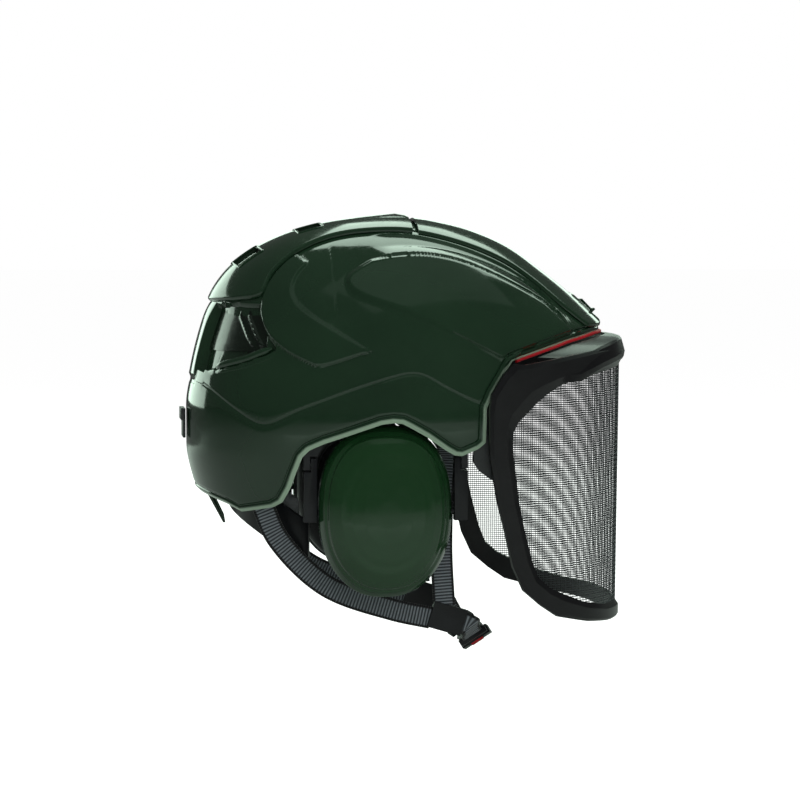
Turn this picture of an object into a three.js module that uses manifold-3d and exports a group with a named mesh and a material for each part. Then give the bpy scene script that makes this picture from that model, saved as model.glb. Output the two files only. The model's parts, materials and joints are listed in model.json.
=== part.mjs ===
// Forestry helmet with ear defenders, mesh visor and chin harness.
// Millimetres. +X is the front of the helmet, +Y the wearer's left, +Z up.
// The origin is the middle of the headband, level with its lowest edge, where the head carries the helmet.
import * as THREE from 'three';
import { mergeVertices } from 'three/addons/utils/BufferGeometryUtils.js';
import Module from 'manifold-3d';

const wasm = await Module();
wasm.setup();

// ---------------------------------------------------------------- driving dimensions
const GAP = 0.4;                 // between pieces that touch
const SHELL_WALL = 3;
const DOME = { base: -48, top: 152.5, topX: 10, middleX: -4, rings: 15, sides: 36 };

// Reach of the dome at a height: [z, reach].
const FRONT_REACH = [[-48, 140], [0, 152], [40, 158], [65, 157], [77, 152.5], [87, 143], [101, 128],
  [116, 109], [132, 86], [143, 60], [149, 35], [152.5, 10]];
const REAR_REACH = [[-48, -121], [-30, -127], [0, -133], [25, -133], [50, -129], [75, -123], [100, -114],
  [116, -103], [128, -88], [138, -68], [146, -42], [150, -18], [152.5, 10]];
const HALF_WIDTH = [[-48, 91], [-25, 99], [0, 104], [20, 105.5], [45, 104], [65, 100.5], [85, 93],
  [100, 84.5], [115, 73.5], [130, 58], [142, 38.5], [149, 20], [152.5, 1]];

// Side outline of the shell's lower edge, from the back to the brim: [x, z].
const RIM = [[-126, -32], [-110, -37.5], [-101, -42], [-81, -37.5], [-75.5, -34], [-70.5, -24],
  [-67.5, -14.5], [-63.5, -3.5], [-59, 1.2], [-49, 5.7], [-32, 11.4], [-12.5, 18], [-5, 19], [1, 18.5],
  [6, 16], [17, 9.7], [30, 0.6], [36, -2.8], [41, -3.4], [52, 1], [57, 5], [57.5, 27], [62, 37],
  [71, 51], [75, 58], [82, 60.5], [117, 71], [141, 76], [160, 77.5]];
// Side outline of the raised crest's lower edge, from the brim to the back.
const CREST_EDGE = [[134, 79], [117, 92], [95, 111], [79, 122], [51, 134], [18, 142], [-5, 142.8],
  [-33, 139.6], [-54, 132.4], [-69, 123.3], [-79, 113.2], [-86, 101], [-104, 97], [-126, 95]];
const CREST_JOINT_X = 19;
// Side outline of the recess where a folded ear cup parks.
const RECESS = [[-86, 96], [-88, 89], [-84, 76], [-78, 66], [-98, 58], [-116, 52], [-140, 50], [-140, 94]];
const SPINE_HALF_WIDTH = 22;     // solid spine between the two recesses

const INNER_SHELL = { front: 126, rear: -112, halfWidth: 84.5, top: 138, base: 6, wall: 2.5 };
const LINER = { front: 120, rear: -107, halfWidth: 79, top: 133, base: 90, wall: 8 };
const HEADBAND = { front: 106, rear: -104, halfWidth: 78.6, middleX: 0, wall: 2.4, low: 0, high: 30 };
const BROW_RISE = 40;            // how much higher the headband runs across the forehead

const VISOR_PIVOT = { x: 62, z: 55, pinRadius: 4 };
const VISOR = { middleX: 50, front: 163, halfWidth: 104, power: 2.5, halfThickness: 2.5, lean: 2 };
// Side outline of the visor frame outside and of its opening, on the visor's curved sheet.
const FRAME_OUTLINE = [[74, 56.5], [67.5, 50], [59.5, 37], [58.2, 27], [58.5, -4], [63.5, -33], [68.5, -52],
  [74, -76], [81.5, -92], [94, -102.5], [106, -110.5], [127, -115.5], [170, -120], [170, 76.5],
  [141, 72.8], [117, 67.8], [82, 57.5]];
const FRAME_OPENING = [[170, 55], [106, 42], [90, 31], [75.5, 16], [73.6, 8], [75, -14], [81, -50],
  [90, -82], [99, -90.5], [122, -101.5], [142, -106.5], [170, -107.5]];

const EAR = { x: -8.5, z: -39.5, halfLength: 43.5, halfHeight: 56, rim: 84, face: 112, wall: 2.5 };
const CUSHION = { inner: 66, outer: 80.4 };
const ARMS = { inner: 86, outer: 92, y: 89 };
const SWING_PIN = { z: -8, radius: 1.5 };
const TILT_PIN = { z: -40, radius: 2.2 };

const WEBBING = { width: 15, thickness: 1.6, twistLength: 14 };
const STRAP_PLANE = 57;          // how far out the harness runs beside the ears
const DIVIDER = { x: 38, z: -116 };
const CHIN = { x: 60, z: -138 };

// ---------------------------------------------------------------- materials
const look = (color, roughness, metalness = 0) => ({ color, roughness, metalness });
const LOOKS = {
  shellGreen: look(0x1c3324, 0.18),
  darkGreen: look(0x16291d, 0.3),
  charcoal: look(0x2f3133, 0.5),
  black: look(0x17181a, 0.6),
  red: look(0xb3202a, 0.45),
  mesh: look(0x55585a, 0.5, 0.6),
  foam: look(0x26282a, 0.95),
  felt: look(0x4d5156, 0.95),
  webbing: look(0x3d444b, 0.9),
  cushion: look(0x111213, 0.7),
  steel: look(0x9a9d9f, 0.35, 1),
};

const helmet = new THREE.Group();

// ---------------------------------------------------------------- geometry helpers
const point = (x, y, z) => new THREE.Vector3(x, y, z);

// A smooth value between [position, value] pairs, without overshoot.
function smoothThrough(pairs) {
  const slope = (i) => (pairs[i + 1][1] - pairs[i][1]) / (pairs[i + 1][0] - pairs[i][0]);
  const last = pairs.length - 1;
  const tangents = pairs.map((_, i) => {
    if (i === 0) return slope(0);
    if (i === last) return slope(last - 1);
    const [before, after] = [slope(i - 1), slope(i)];
    return before * after > 0 ? (2 * before * after) / (before + after) : 0;
  });
  return (position) => {
    const at = THREE.MathUtils.clamp(position, pairs[0][0], pairs[last][0]);
    const i = Math.min(last - 1, pairs.findLastIndex(([start]) => start <= at));
    const span = pairs[i + 1][0] - pairs[i][0];
    const t = (at - pairs[i][0]) / span;
    const keep = 2 * t ** 3 - 3 * t ** 2 + 1;
    return pairs[i][1] * keep + pairs[i + 1][1] * (1 - keep)
      + span * (tangents[i] * (t ** 3 - 2 * t ** 2 + t) + tangents[i + 1] * (t ** 3 - t ** 2));
  };
}

// A point of a superellipse whose front and rear halves reach different distances.
function ovalPoint(angle, { front, rear, halfWidth, middleX, power = 2.3 }) {
  const along = Math.sign(Math.cos(angle)) * Math.abs(Math.cos(angle)) ** (2 / power);
  const across = Math.sign(Math.sin(angle)) * Math.abs(Math.sin(angle)) ** (2 / power);
  const reach = along > 0 ? front - middleX : middleX - rear;
  return new THREE.Vector2(middleX + reach * along, halfWidth * across);
}

function turn(steps, start = 0, arc = 2 * Math.PI) {
  return Array.from({ length: steps }, (_, i) => start + (arc * i) / steps);
}

function sweepOf(steps, from, to) {
  return Array.from({ length: steps + 1 }, (_, i) => from + ((to - from) * i) / steps);
}

// A closed solid through a row of rings with equal point counts; a looped row joins its own start.
function loft(rings, looped = false) {
  const count = rings[0].length;
  const points = rings.flat();
  const faces = [];
  const rows = looped ? rings.length : rings.length - 1;
  for (let row = 0; row < rows; row += 1) {
    const here = row * count;
    const next = ((row + 1) % rings.length) * count;
    for (let i = 0; i < count; i += 1) {
      const j = (i + 1) % count;
      faces.push([here + i, here + j, next + j], [here + i, next + j, next + i]);
    }
  }
  if (!looped) {
    const end = (rings.length - 1) * count;
    for (let i = 1; i < count - 1; i += 1) {
      faces.push([0, i + 1, i], [end, end + i, end + i + 1]);
    }
  }
  let volume = 0;
  for (const [a, b, c] of faces) {
    volume += points[a].dot(new THREE.Vector3().crossVectors(points[b], points[c]));
  }
  const outward = volume > 0 ? faces : faces.map(([a, b, c]) => [a, c, b]);
  const geometry = new THREE.BufferGeometry();
  geometry.setAttribute('position', new THREE.Float32BufferAttribute(points.flatMap((p) => p.toArray()), 3));
  geometry.setIndex(outward.flat());
  return geometry;
}

function solid(shape) {
  if (shape instanceof wasm.Manifold) return shape;
  const bare = shape.clone();
  bare.deleteAttribute('normal');
  bare.deleteAttribute('uv');
  const merged = mergeVertices(bare, 1e-4);
  return new wasm.Manifold(new wasm.Mesh({
    numProp: 3,
    vertProperties: new Float32Array(merged.attributes.position.array),
    triVerts: new Uint32Array(merged.index.array),
  }));
}

const join = (first, ...others) => others.reduce((sum, other) => sum.add(solid(other)), solid(first));
const cut = (first, ...others) => others.reduce((rest, other) => rest.subtract(solid(other)), solid(first));
const common = (first, second) => solid(first).intersect(solid(second));

function geometryOf(shape) {
  if (!(shape instanceof wasm.Manifold)) return shape;
  const { vertProperties, triVerts } = shape.getMesh();
  const geometry = new THREE.BufferGeometry();
  geometry.setAttribute('position', new THREE.BufferAttribute(vertProperties, 3));
  geometry.setIndex(new THREE.BufferAttribute(triVerts, 1));
  return geometry;
}

// A copy on the other side of the helmet, with its faces turned back outward.
function mirrored(shape) {
  const geometry = geometryOf(solid(shape)).scale(1, -1, 1);
  const index = Array.from(geometry.index.array);
  for (let i = 0; i < index.length; i += 3) {
    [index[i + 1], index[i + 2]] = [index[i + 2], index[i + 1]];
  }
  geometry.setIndex(index);
  return geometry;
}

function add(name, shape, { color, roughness, metalness }) {
  const material = new THREE.MeshStandardMaterial({ color, roughness, metalness });
  const mesh = new THREE.Mesh(geometryOf(shape), material);
  mesh.name = name;
  helmet.add(mesh);
}

// The shape is made on the left (+Y) and mirrored for the right.
function addPair(name, shape, finish) {
  add(`${name}_left`, shape, finish);
  add(`${name}_right`, mirrored(shape), finish);
}

// A side outline [x, z] given a width from y0 to y1.
function sideSlab(outline, y0, y1) {
  const shape = new THREE.Shape(outline.map(([x, z]) => new THREE.Vector2(x, z)));
  const slab = new THREE.ExtrudeGeometry(shape, { depth: y1 - y0, bevelEnabled: false });
  return slab.rotateX(Math.PI / 2).translate(0, y1, 0);
}

function block(x0, x1, y0, y1, z0, z1) {
  const box = new THREE.BoxGeometry(x1 - x0, y1 - y0, z1 - z0);
  return box.translate((x0 + x1) / 2, (y0 + y1) / 2, (z0 + z1) / 2);
}

function rodAlongX(x0, x1, y, z, radius, sides = 12) {
  const rod = new THREE.CylinderGeometry(radius, radius, x1 - x0, sides);
  return rod.rotateZ(Math.PI / 2).translate((x0 + x1) / 2, y, z);
}

function rodAlongY(x, y0, y1, z, radius, sides = 16) {
  return new THREE.CylinderGeometry(radius, radius, y1 - y0, sides).translate(x, (y0 + y1) / 2, z);
}

// A band of rectangular section. Each station gives its middle, its width direction and its face direction.
function band(stations, width, thickness, looped = false) {
  const rings = stations.map(({ at, across, out }) => {
    const w = across.clone().setLength(width / 2);
    const t = out.clone().setLength(thickness / 2);
    return [
      at.clone().add(w).add(t),
      at.clone().add(w).sub(t),
      at.clone().sub(w).sub(t),
      at.clone().sub(w).add(t),
    ];
  });
  return loft(rings, looped);
}

// Webbing along a smooth route, with its face turned towards `out`.
function webbing(route, out, width = WEBBING.width, steps = 10, startOut = out) {
  const curve = new THREE.CatmullRomCurve3(route.map((p) => point(...p)), false, 'centripetal');
  const length = curve.getLength();
  const stations = sweepOf(steps, 0, 1).map((t) => {
    const at = curve.getPointAt(t);
    const along = curve.getTangentAt(t);
    const turned = THREE.MathUtils.smoothstep(t * length, 0, WEBBING.twistLength);
    const across = startOut.clone().lerp(out, turned).cross(along).normalize();
    return { at, across, out: new THREE.Vector3().crossVectors(along, across) };
  });
  return band(stations, width, WEBBING.thickness);
}

// ---------------------------------------------------------------- outer shell
const frontReach = smoothThrough(FRONT_REACH);
const rearReach = smoothThrough(REAR_REACH);
const halfWidthAt = smoothThrough(HALF_WIDTH);

function domePoint(angle, z) {
  const rise = THREE.MathUtils.clamp((z - 100) / (DOME.top - 100), 0, 1);
  const oval = {
    front: frontReach(z),
    rear: rearReach(z),
    halfWidth: halfWidthAt(z),
    middleX: THREE.MathUtils.lerp(DOME.middleX, DOME.topX, rise),
    power: 2.35 - 0.25 * THREE.MathUtils.clamp((z - 70) / 70, 0, 1),
  };
  const { x, y } = ovalPoint(angle, oval);
  return point(x, y, z);
}

// The dome's point moved `offset` along its outward normal.
function offsetDomePoint(angle, z, offset) {
  const step = 0.02;
  const around = domePoint(angle + step, z).sub(domePoint(angle - step, z));
  const up = domePoint(angle, z + 0.5).sub(domePoint(angle, z - 0.5));
  const normal = new THREE.Vector3().crossVectors(around, up).normalize();
  return domePoint(angle, z).addScaledVector(normal, offset);
}

function domeSolid(offset) {
  const rings = sweepOf(DOME.rings, 0, 0.93).map((t) => {
    const z = DOME.base + (DOME.top - DOME.base) * Math.sin((t * Math.PI) / 2);
    return turn(DOME.sides, Math.PI / DOME.sides).map((angle) => offsetDomePoint(angle, z, offset));
  });
  const apex = point(DOME.topX, 0, DOME.top + offset);
  const cap = rings.at(-1).map((p) => p.clone().lerp(apex, 0.75).setZ(DOME.top + offset - 0.05));
  return solid(loft([...rings, cap]));
}

const domeOutside = domeSolid(0);
const shellRegion = sideSlab([...RIM, [180, 200], [-180, 200], [-180, -32]], -150, 150);
const recessRegion = (grow) => sideSlab(RECESS.map(([x, z]) => [x + grow, z + Math.sign(z - 75) * grow]),
  SPINE_HALF_WIDTH - grow, 150);
const VENTS = [
  { x: -48, z: 140, length: 16, halfWidth: 20, tilt: 0.3 },
  { x: -88, z: 122, length: 18, halfWidth: 26, tilt: 0.85 },
];
function ventCutter({ x, z, length, halfWidth, tilt }, grow) {
  const cutter = block(-length / 2 - grow, length / 2 + grow, 3 - grow, halfWidth + grow, -30, 30);
  return cutter.rotateY(-tilt).translate(x, 0, z);
}
const ventCutters = (grow) => VENTS.flatMap((vent) => {
  const left = ventCutter(vent, grow);
  return [left, mirrored(left)];
});

function outerShell() {
  const wall = common(cut(domeOutside, domeSolid(-SHELL_WALL)), shellRegion);
  const recess = recessRegion(GAP);
  return cut(wall, recess, mirrored(recess), ...ventCutters(1));
}
add('outer_shell', outerShell(), LOOKS.shellGreen);

function crest(x0, x1, thickness) {
  const skin = cut(domeSolid(thickness), domeSolid(GAP));
  const region = sideSlab([...CREST_EDGE, [-180, 95], [-180, 200], [180, 200], [180, 79]], -100, 100);
  return cut(common(common(skin, region), block(x0, x1, -100, 100, 60, 200)), ...ventCutters(0));
}
add('crest_front', crest(CREST_JOINT_X + GAP / 2, 180, 2.2), LOOKS.shellGreen);
add('crest_rear', crest(-180, CREST_JOINT_X - GAP / 2, 3), LOOKS.shellGreen);
addPair('recess_plate', common(cut(domeSolid(-1.5), domeSolid(-4)), recessRegion(0)), LOOKS.darkGreen);

// The brim's lower edge in plan: its height follows the rim's side outline.
const BRIM = RIM.slice(-5);
function brimHeight(x) {
  const i = Math.max(0, BRIM.findLastIndex(([start]) => start <= x));
  const [[x0, z0], [x1, z1]] = BRIM.slice(Math.min(i, BRIM.length - 2));
  return z0 + ((z1 - z0) * (x - x0)) / (x1 - x0);
}
function brimPoint(angle, offset) {
  let z = BRIM.at(-1)[1];
  for (let pass = 0; pass < 4; pass += 1) z = brimHeight(domePoint(angle, z).x);
  return offsetDomePoint(angle, z, offset).setZ(z);
}
const SEAL_HEIGHT = 1.8;
function brimSeal() {
  const rings = sweepOf(22, -1.1, 1.1).map((angle) => [
    brimPoint(angle, -0.2).add(point(0, 0, -GAP)),
    brimPoint(angle, -0.2).add(point(0, 0, -GAP - SEAL_HEIGHT)),
    brimPoint(angle, -2.6).add(point(0, 0, -GAP - SEAL_HEIGHT)),
    brimPoint(angle, -2.6).add(point(0, 0, -GAP)),
  ]);
  return loft(rings);
}
add('brim_seal', brimSeal(), LOOKS.red);

// ---------------------------------------------------------------- inner shell, liner and headband
function innerDome({ front, rear, halfWidth, top, base }, inset) {
  const fullness = 2.3;
  const rings = sweepOf(9, 0, 0.96).map((t) => {
    const z = (base - inset) + (top - base) * Math.sin((t * Math.PI) / 2);
    const share = (1 - ((z - base + inset) / (top - base)) ** fullness) ** (1 / fullness);
    const middleX = (front + rear) / 2;
    const oval = {
      front: middleX + (front - inset - middleX) * share,
      rear: middleX + (rear + inset - middleX) * share,
      halfWidth: (halfWidth - inset) * share,
      middleX,
    };
    return turn(28, Math.PI / 28).map((angle) => {
      const { x, y } = ovalPoint(angle, oval);
      return point(x, y, z);
    });
  });
  return loft(rings);
}
// The inner shell stops above the ears and the nape, and leaves the forehead free under the brim.
const INNER_EDGE = [[-140, 24], [-70, 22], [-40, 30], [30, 30], [66, 40], [90, 52], [150, 62], [150, 200],
  [-140, 200]];
const innerShell = cut(innerDome(INNER_SHELL, 0), innerDome(INNER_SHELL, INNER_SHELL.wall));
add('inner_shell', common(innerShell, sideSlab(INNER_EDGE, -120, 120)), LOOKS.charcoal);
add('impact_liner', common(
  cut(innerDome({ ...LINER, base: 0 }, 0), innerDome({ ...LINER, base: 0 }, LINER.wall)),
  block(-200, 200, -120, 120, LINER.base, 200),
), LOOKS.foam);

// A station of a band round the head's oval; angle 0 is the forehead, where the band climbs to the brim.
function headStation({ front, rear, halfWidth, middleX }, inset, angle, z) {
  const oval = {
    front: front - inset,
    rear: rear + inset,
    halfWidth: halfWidth - inset,
    middleX,
    power: 2.2,
  };
  const here = ovalPoint(angle, oval);
  const out = ovalPoint(angle + 0.01, oval).sub(ovalPoint(angle - 0.01, oval));
  const climb = BROW_RISE * Math.max(0, Math.cos(angle)) ** 2;
  return { at: point(here.x, here.y, z + climb), across: point(0, 0, 1), out: point(out.y, -out.x, 0) };
}
function ovalBand(oval, inset, low, high, wall, from, to, steps) {
  const middle = (low + high) / 2;
  const stations = sweepOf(steps, from, to).map((angle) => headStation(oval, inset, angle, middle));
  return band(stations, high - low, wall);
}
const { low, high, wall } = HEADBAND;
// The band is notched above the ears, where the cushions reach up.
const EAR_NOTCH = block(-56, 47, -100, 100, low - 5, 19.5);
add('headband', cut(ovalBand(HEADBAND, 0, low, high, wall, -2.2, 2.2, 32), EAR_NOTCH), LOOKS.black);
add('brow_pad', ovalBand(HEADBAND, 4.2, low + 1, high - 1, 5.2, -0.9, 0.9, 14), LOOKS.felt);

// Two cradle straps cross over the head under the liner, from band edge to band edge.
const CRADLE = { top: 119, width: 20, wall: 1.5 };
function cradleStrap(reachA, reachB, height, alongX) {
  const rings = sweepOf(14, 0, Math.PI).map((angle) => {
    const reach = Math.cos(angle) > 0 ? reachA : reachB;
    const run = Math.cos(angle) * reach;
    const foot = alongX && Math.cos(angle) > 0 ? high + BROW_RISE - 4 : high + 2;
    const z = foot + (height - foot) * Math.sin(angle);
    const out = point(alongX ? Math.cos(angle) : 0, alongX ? 0 : Math.cos(angle), Math.sin(angle));
    return {
      at: alongX ? point(run, 0, z) : point(0, run, z),
      across: alongX ? point(0, 1, 0) : point(1, 0, 0),
      out,
    };
  });
  return band(rings, CRADLE.width, CRADLE.wall);
}
add('cradle_strap_long', cradleStrap(92, 92, CRADLE.top, true), LOOKS.webbing);
add('cradle_strap_cross', cradleStrap(71, 71, CRADLE.top - 3, false), LOOKS.webbing);

// ---------------------------------------------------------------- fittings on the shell
const LAMP_CLIP = { x: 142.2, z: 92.2, halfWidth: 13, tilt: 0.8 };
// The clip lies on the crest's tip; its hook leans away from the face that a lamp rests on.
const CLIP_SIDE = [[-6, 0], [6, 0], [6, 3.2], [4.4, 3.2], [3.6, 1.6], [-6, 1.6]];
add('front_lamp_clip', sideSlab(CLIP_SIDE, -LAMP_CLIP.halfWidth, LAMP_CLIP.halfWidth)
  .rotateY(LAMP_CLIP.tilt).translate(LAMP_CLIP.x, 0, LAMP_CLIP.z), LOOKS.shellGreen);
add('rear_lamp_hook', join(
  block(-136, -134.2, -12, 12, 4, 24),
  block(-137.4, -136, -12, 12, 16, 24),
), LOOKS.charcoal);

// A shutter slides in the gap between the two shells and opens the rear vents; its tab hangs out below.
const SHUTTER_TAB = [[-121.4, -25], [-119.4, -25], [-108, -49], [-107, -55], [-108.6, -55], [-121.4, -31]];
add('vent_shutter', join(
  block(-121.4, -119.4, -14, 14, -26, 0),
  sideSlab(SHUTTER_TAB, -4, 4),
), LOOKS.shellGreen);

// ---------------------------------------------------------------- visor
function visorPoint(angle, z, offset) {
  const slope = (VISOR.lean * (z - 60)) / 170;
  const oval = {
    front: VISOR.front + offset + slope,
    rear: -60,
    halfWidth: VISOR.halfWidth + offset + slope / 2,
    middleX: VISOR.middleX,
    power: VISOR.power,
  };
  const { x, y } = ovalPoint(angle, oval);
  return point(x, y, z);
}

function visorColumn(offset) {
  return loft([-130, 80].map((z) => turn(44).map((angle) => visorPoint(angle, z, offset))));
}

// The closed top rail reaches back from the visor's sheet to the brim's edge.
function topRail() {
  const clearance = GAP + SEAL_HEIGHT + 0.8;
  const rings = sweepOf(22, -1.1, 1.1).map((angle) => {
    const edge = brimPoint(Math.min(1.0, Math.abs(angle)) * Math.sign(angle), 3);
    edge.z -= clearance;
    const front = visorPoint(angle, edge.z - 11, VISOR.halfThickness + 1.5);
    const under = visorPoint(angle, edge.z - 16, VISOR.halfThickness);
    const back = visorPoint(angle, edge.z - 16, -VISOR.halfThickness);
    const nose = visorPoint(angle, edge.z - 0.5, -1);
    return [edge, nose, front, under, back, edge.clone().add(point(0, 0, -4))];
  });
  return loft(rings);
}

function visorFrame() {
  const sheet = cut(visorColumn(VISOR.halfThickness), visorColumn(-VISOR.halfThickness));
  const bars = cut(
    common(sheet, sideSlab(FRAME_OUTLINE, -130, 130)),
    sideSlab(FRAME_OPENING, -130, 130),
    block(-100, 50, -130, 130, -140, 100),
  );
  return join(bars, topRail());
}
add('visor_frame', visorFrame(), LOOKS.charcoal);

const MESH_HALF_THICKNESS = 0.5;
const MESH_CLEARANCE = 0.15;     // the mesh sits just inside the frame's opening all round
function visorMesh() {
  const sheet = cut(visorColumn(MESH_HALF_THICKNESS), visorColumn(-MESH_HALF_THICKNESS));
  const frame = visorFrame();
  const ways = [[1, 0, 0], [-1, 0, 0], [0, 1, 0], [0, -1, 0], [0, 0, 1], [0, 0, -1]];
  const around = ways.map((way) => frame.translate(way.map((step) => step * MESH_CLEARANCE)));
  return cut(common(sheet, sideSlab(FRAME_OPENING, -130, 130)), frame, ...around);
}
const meshSheet = visorMesh().decompose().sort((a, b) => b.volume() - a.volume())[0];
add('visor_mesh', meshSheet, LOOKS.mesh);

const VISOR_ARM = { inner: 85.8, outer: 89.6 };
function visorArm() {
  const outline = [[55, 62], [53, 55], [55, 46], [51, 10], [50, -8], [54, -14], [62, -20], [72, -24],
    [72, -10], [62, -5], [61, 10], [68, 46], [71, 55], [68, 62], [62, 64.5]];
  const bar = sideSlab(outline, VISOR_ARM.inner, VISOR_ARM.outer);
  const foot = block(62, 72, VISOR_ARM.outer, VISOR.halfWidth - VISOR.halfThickness - 1.4, -20, -9);
  return cut(join(bar, foot), rodAlongY(VISOR_PIVOT.x, 80, 110, VISOR_PIVOT.z, VISOR_PIVOT.pinRadius + GAP));
}
addPair('visor_arm', visorArm(), LOOKS.charcoal);
const pivotRod = rodAlongY(VISOR_PIVOT.x, INNER_SHELL.halfWidth - 14, VISOR_ARM.outer + 0.8,
  VISOR_PIVOT.z, VISOR_PIVOT.pinRadius);
addPair('visor_pivot_pin', cut(pivotRod, innerDome(INNER_SHELL, -GAP)), LOOKS.steel);

// ---------------------------------------------------------------- ear defenders
// The cup's oval is fuller at the top than at the bottom.
function earOval(angle, scale, y, grow = 0) {
  const lengthways = Math.cos(angle);
  const upright = Math.sin(angle);
  const taper = upright < 0 ? 1 - 0.12 * upright ** 2 : 1;
  const x = Math.sign(lengthways) * Math.abs(lengthways) ** 0.8 * (EAR.halfLength * scale + grow) * taper;
  const z = Math.sign(upright) * Math.abs(upright) ** 0.84 * (EAR.halfHeight * scale + grow);
  return point(EAR.x + x, y, EAR.z + z);
}
const EAR_SIDES = 28;
const CUP_HOLE = 0.62;           // share of the oval that the plate and the cushion leave open
// [how far out, share of the full oval] from the rim to the face.
const CUP_PROFILE = [[0, 1], [0.35, 1], [0.62, 0.93], [0.85, 0.8], [1, 0.58]];
function cupSolid(inset, from) {
  const depth = EAR.face - EAR.rim - inset;
  const rings = CUP_PROFILE.map(([share, scale]) => {
    const y = share === 0 ? from : EAR.rim + depth * share;
    return turn(EAR_SIDES).map((angle) => earOval(angle, scale, y, -inset));
  });
  return loft(rings);
}
const tiltPinHole = rodAlongX(-80, 60, ARMS.y, TILT_PIN.z, TILT_PIN.radius + GAP);
const cup = cut(cupSolid(0, EAR.rim), cupSolid(EAR.wall, EAR.rim - 5), tiltPinHole);
addPair('ear_cup', cup, LOOKS.shellGreen);

function ovalPlate(scale, y0, y1) {
  return loft([y0, y1].map((y) => turn(EAR_SIDES).map((angle) => earOval(angle, scale, y))));
}
const PLATE_INNER = CUSHION.outer + GAP;
addPair('ear_backplate', cut(
  ovalPlate(0.99, PLATE_INNER, EAR.rim - GAP),
  ovalPlate(CUP_HOLE, PLATE_INNER - 5, EAR.rim + 5),
), LOOKS.black);
addPair('ear_foam', ovalPlate(0.78, EAR.rim + GAP, EAR.rim + 16), LOOKS.foam);

function earCushion() {
  const ring = turn(EAR_SIDES).map((angle) => {
    const outer = (scale, y) => earOval(angle, scale, y);
    return [
      outer(0.95, CUSHION.outer), outer(1, CUSHION.outer - 4), outer(0.98, CUSHION.inner + 3),
      outer(0.9, CUSHION.inner), outer(0.72, CUSHION.inner), outer(CUP_HOLE, CUSHION.inner + 4),
      outer(CUP_HOLE, CUSHION.outer),
    ];
  });
  return loft(ring, true);
}
addPair('ear_cushion', earCushion(), LOOKS.cushion);

// A fixed bracket inside the shell reaches down on both sides of the cup. An arm hangs from each of its
// ends on a swing pin and carries the cup on a stub, so the cup swings out and tilts on its own.
const LEG = { rear: -62, front: 46, width: 9, knuckle: 4.3, bottom: -46 };
const KNUCKLE = { top: SWING_PIN.z + 3.8, bottom: SWING_PIN.z - 3.8, shoulder: 5 };
function earBracket() {
  const legEnd = KNUCKLE.bottom;
  const shoulder = SWING_PIN.z + KNUCKLE.shoulder;
  const outline = [
    [LEG.rear, legEnd], [LEG.rear + LEG.knuckle, legEnd], [LEG.rear + LEG.knuckle, shoulder],
    [LEG.rear + LEG.width, shoulder], [-40, 21], [22, 21], [LEG.front - LEG.width, shoulder],
    [LEG.front - LEG.knuckle, shoulder], [LEG.front - LEG.knuckle, legEnd], [LEG.front, legEnd],
    [LEG.front, 2], [42, 12], [30, 33], [-46, 33], [LEG.rear, 8],
  ];
  const holes = rodAlongX(-80, 60, ARMS.y, SWING_PIN.z, SWING_PIN.radius + GAP);
  return cut(sideSlab(outline, ARMS.inner, ARMS.outer), holes);
}
addPair('ear_bracket', earBracket(), LOOKS.black);

const tiltPin = (x0, x1) => rodAlongX(x0, x1, ARMS.y, TILT_PIN.z, TILT_PIN.radius);
// `side` is -1 for the arm behind the cup and 1 for the one in front of it.
function earArm(side) {
  const outer = side < 0 ? LEG.rear : LEG.front;
  const inward = (distance) => outer - side * distance;
  const shoulder = SWING_PIN.z - KNUCKLE.shoulder;
  const outline = [
    [inward(LEG.knuckle + GAP), KNUCKLE.top], [inward(LEG.width), KNUCKLE.top],
    [inward(LEG.width), LEG.bottom], [inward(0), LEG.bottom], [inward(0), shoulder],
    [inward(LEG.knuckle + GAP), shoulder],
  ];
  const plate = sideSlab(side < 0 ? outline : outline.reverse(), ARMS.inner, ARMS.outer);
  const stubEnd = EAR.x + side * (EAR.halfLength - 2);
  const stub = tiltPin(Math.min(stubEnd, inward(1)), Math.max(stubEnd, inward(1)));
  return cut(join(plate, stub), rodAlongX(-80, 60, ARMS.y, SWING_PIN.z, SWING_PIN.radius + GAP));
}
addPair('ear_arm_rear', earArm(-1), LOOKS.black);
addPair('ear_arm_front', earArm(1), LOOKS.black);
const swingPin = (x) => rodAlongX(x, x + LEG.width, ARMS.y, SWING_PIN.z, SWING_PIN.radius);
addPair('swing_pin_rear', swingPin(LEG.rear), LOOKS.steel);
addPair('swing_pin_front', swingPin(LEG.front - LEG.width), LOOKS.steel);

// ---------------------------------------------------------------- nape adjuster
// The cradle's wide band reaches forward and down beside the neck in two wings, and draws in towards it.
const NAPE = { inset: 1.5, wall: 2.6, low: -44, high: -14, wingAngle: 2.2, wingDrop: 36, wingTuck: 14 };
function napeBand({ inset, wall, low, high, wingAngle }, steps) {
  const stations = sweepOf(steps, wingAngle, 2 * Math.PI - wingAngle).map((angle) => {
    const share = Math.abs(angle - Math.PI) / (Math.PI - NAPE.wingAngle);
    const tuck = NAPE.wingTuck * share ** 2;
    return headStation(HEADBAND, inset + tuck, angle, (low + high) / 2 - NAPE.wingDrop * share ** 1.6);
  });
  return band(stations, high - low, wall);
}
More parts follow.
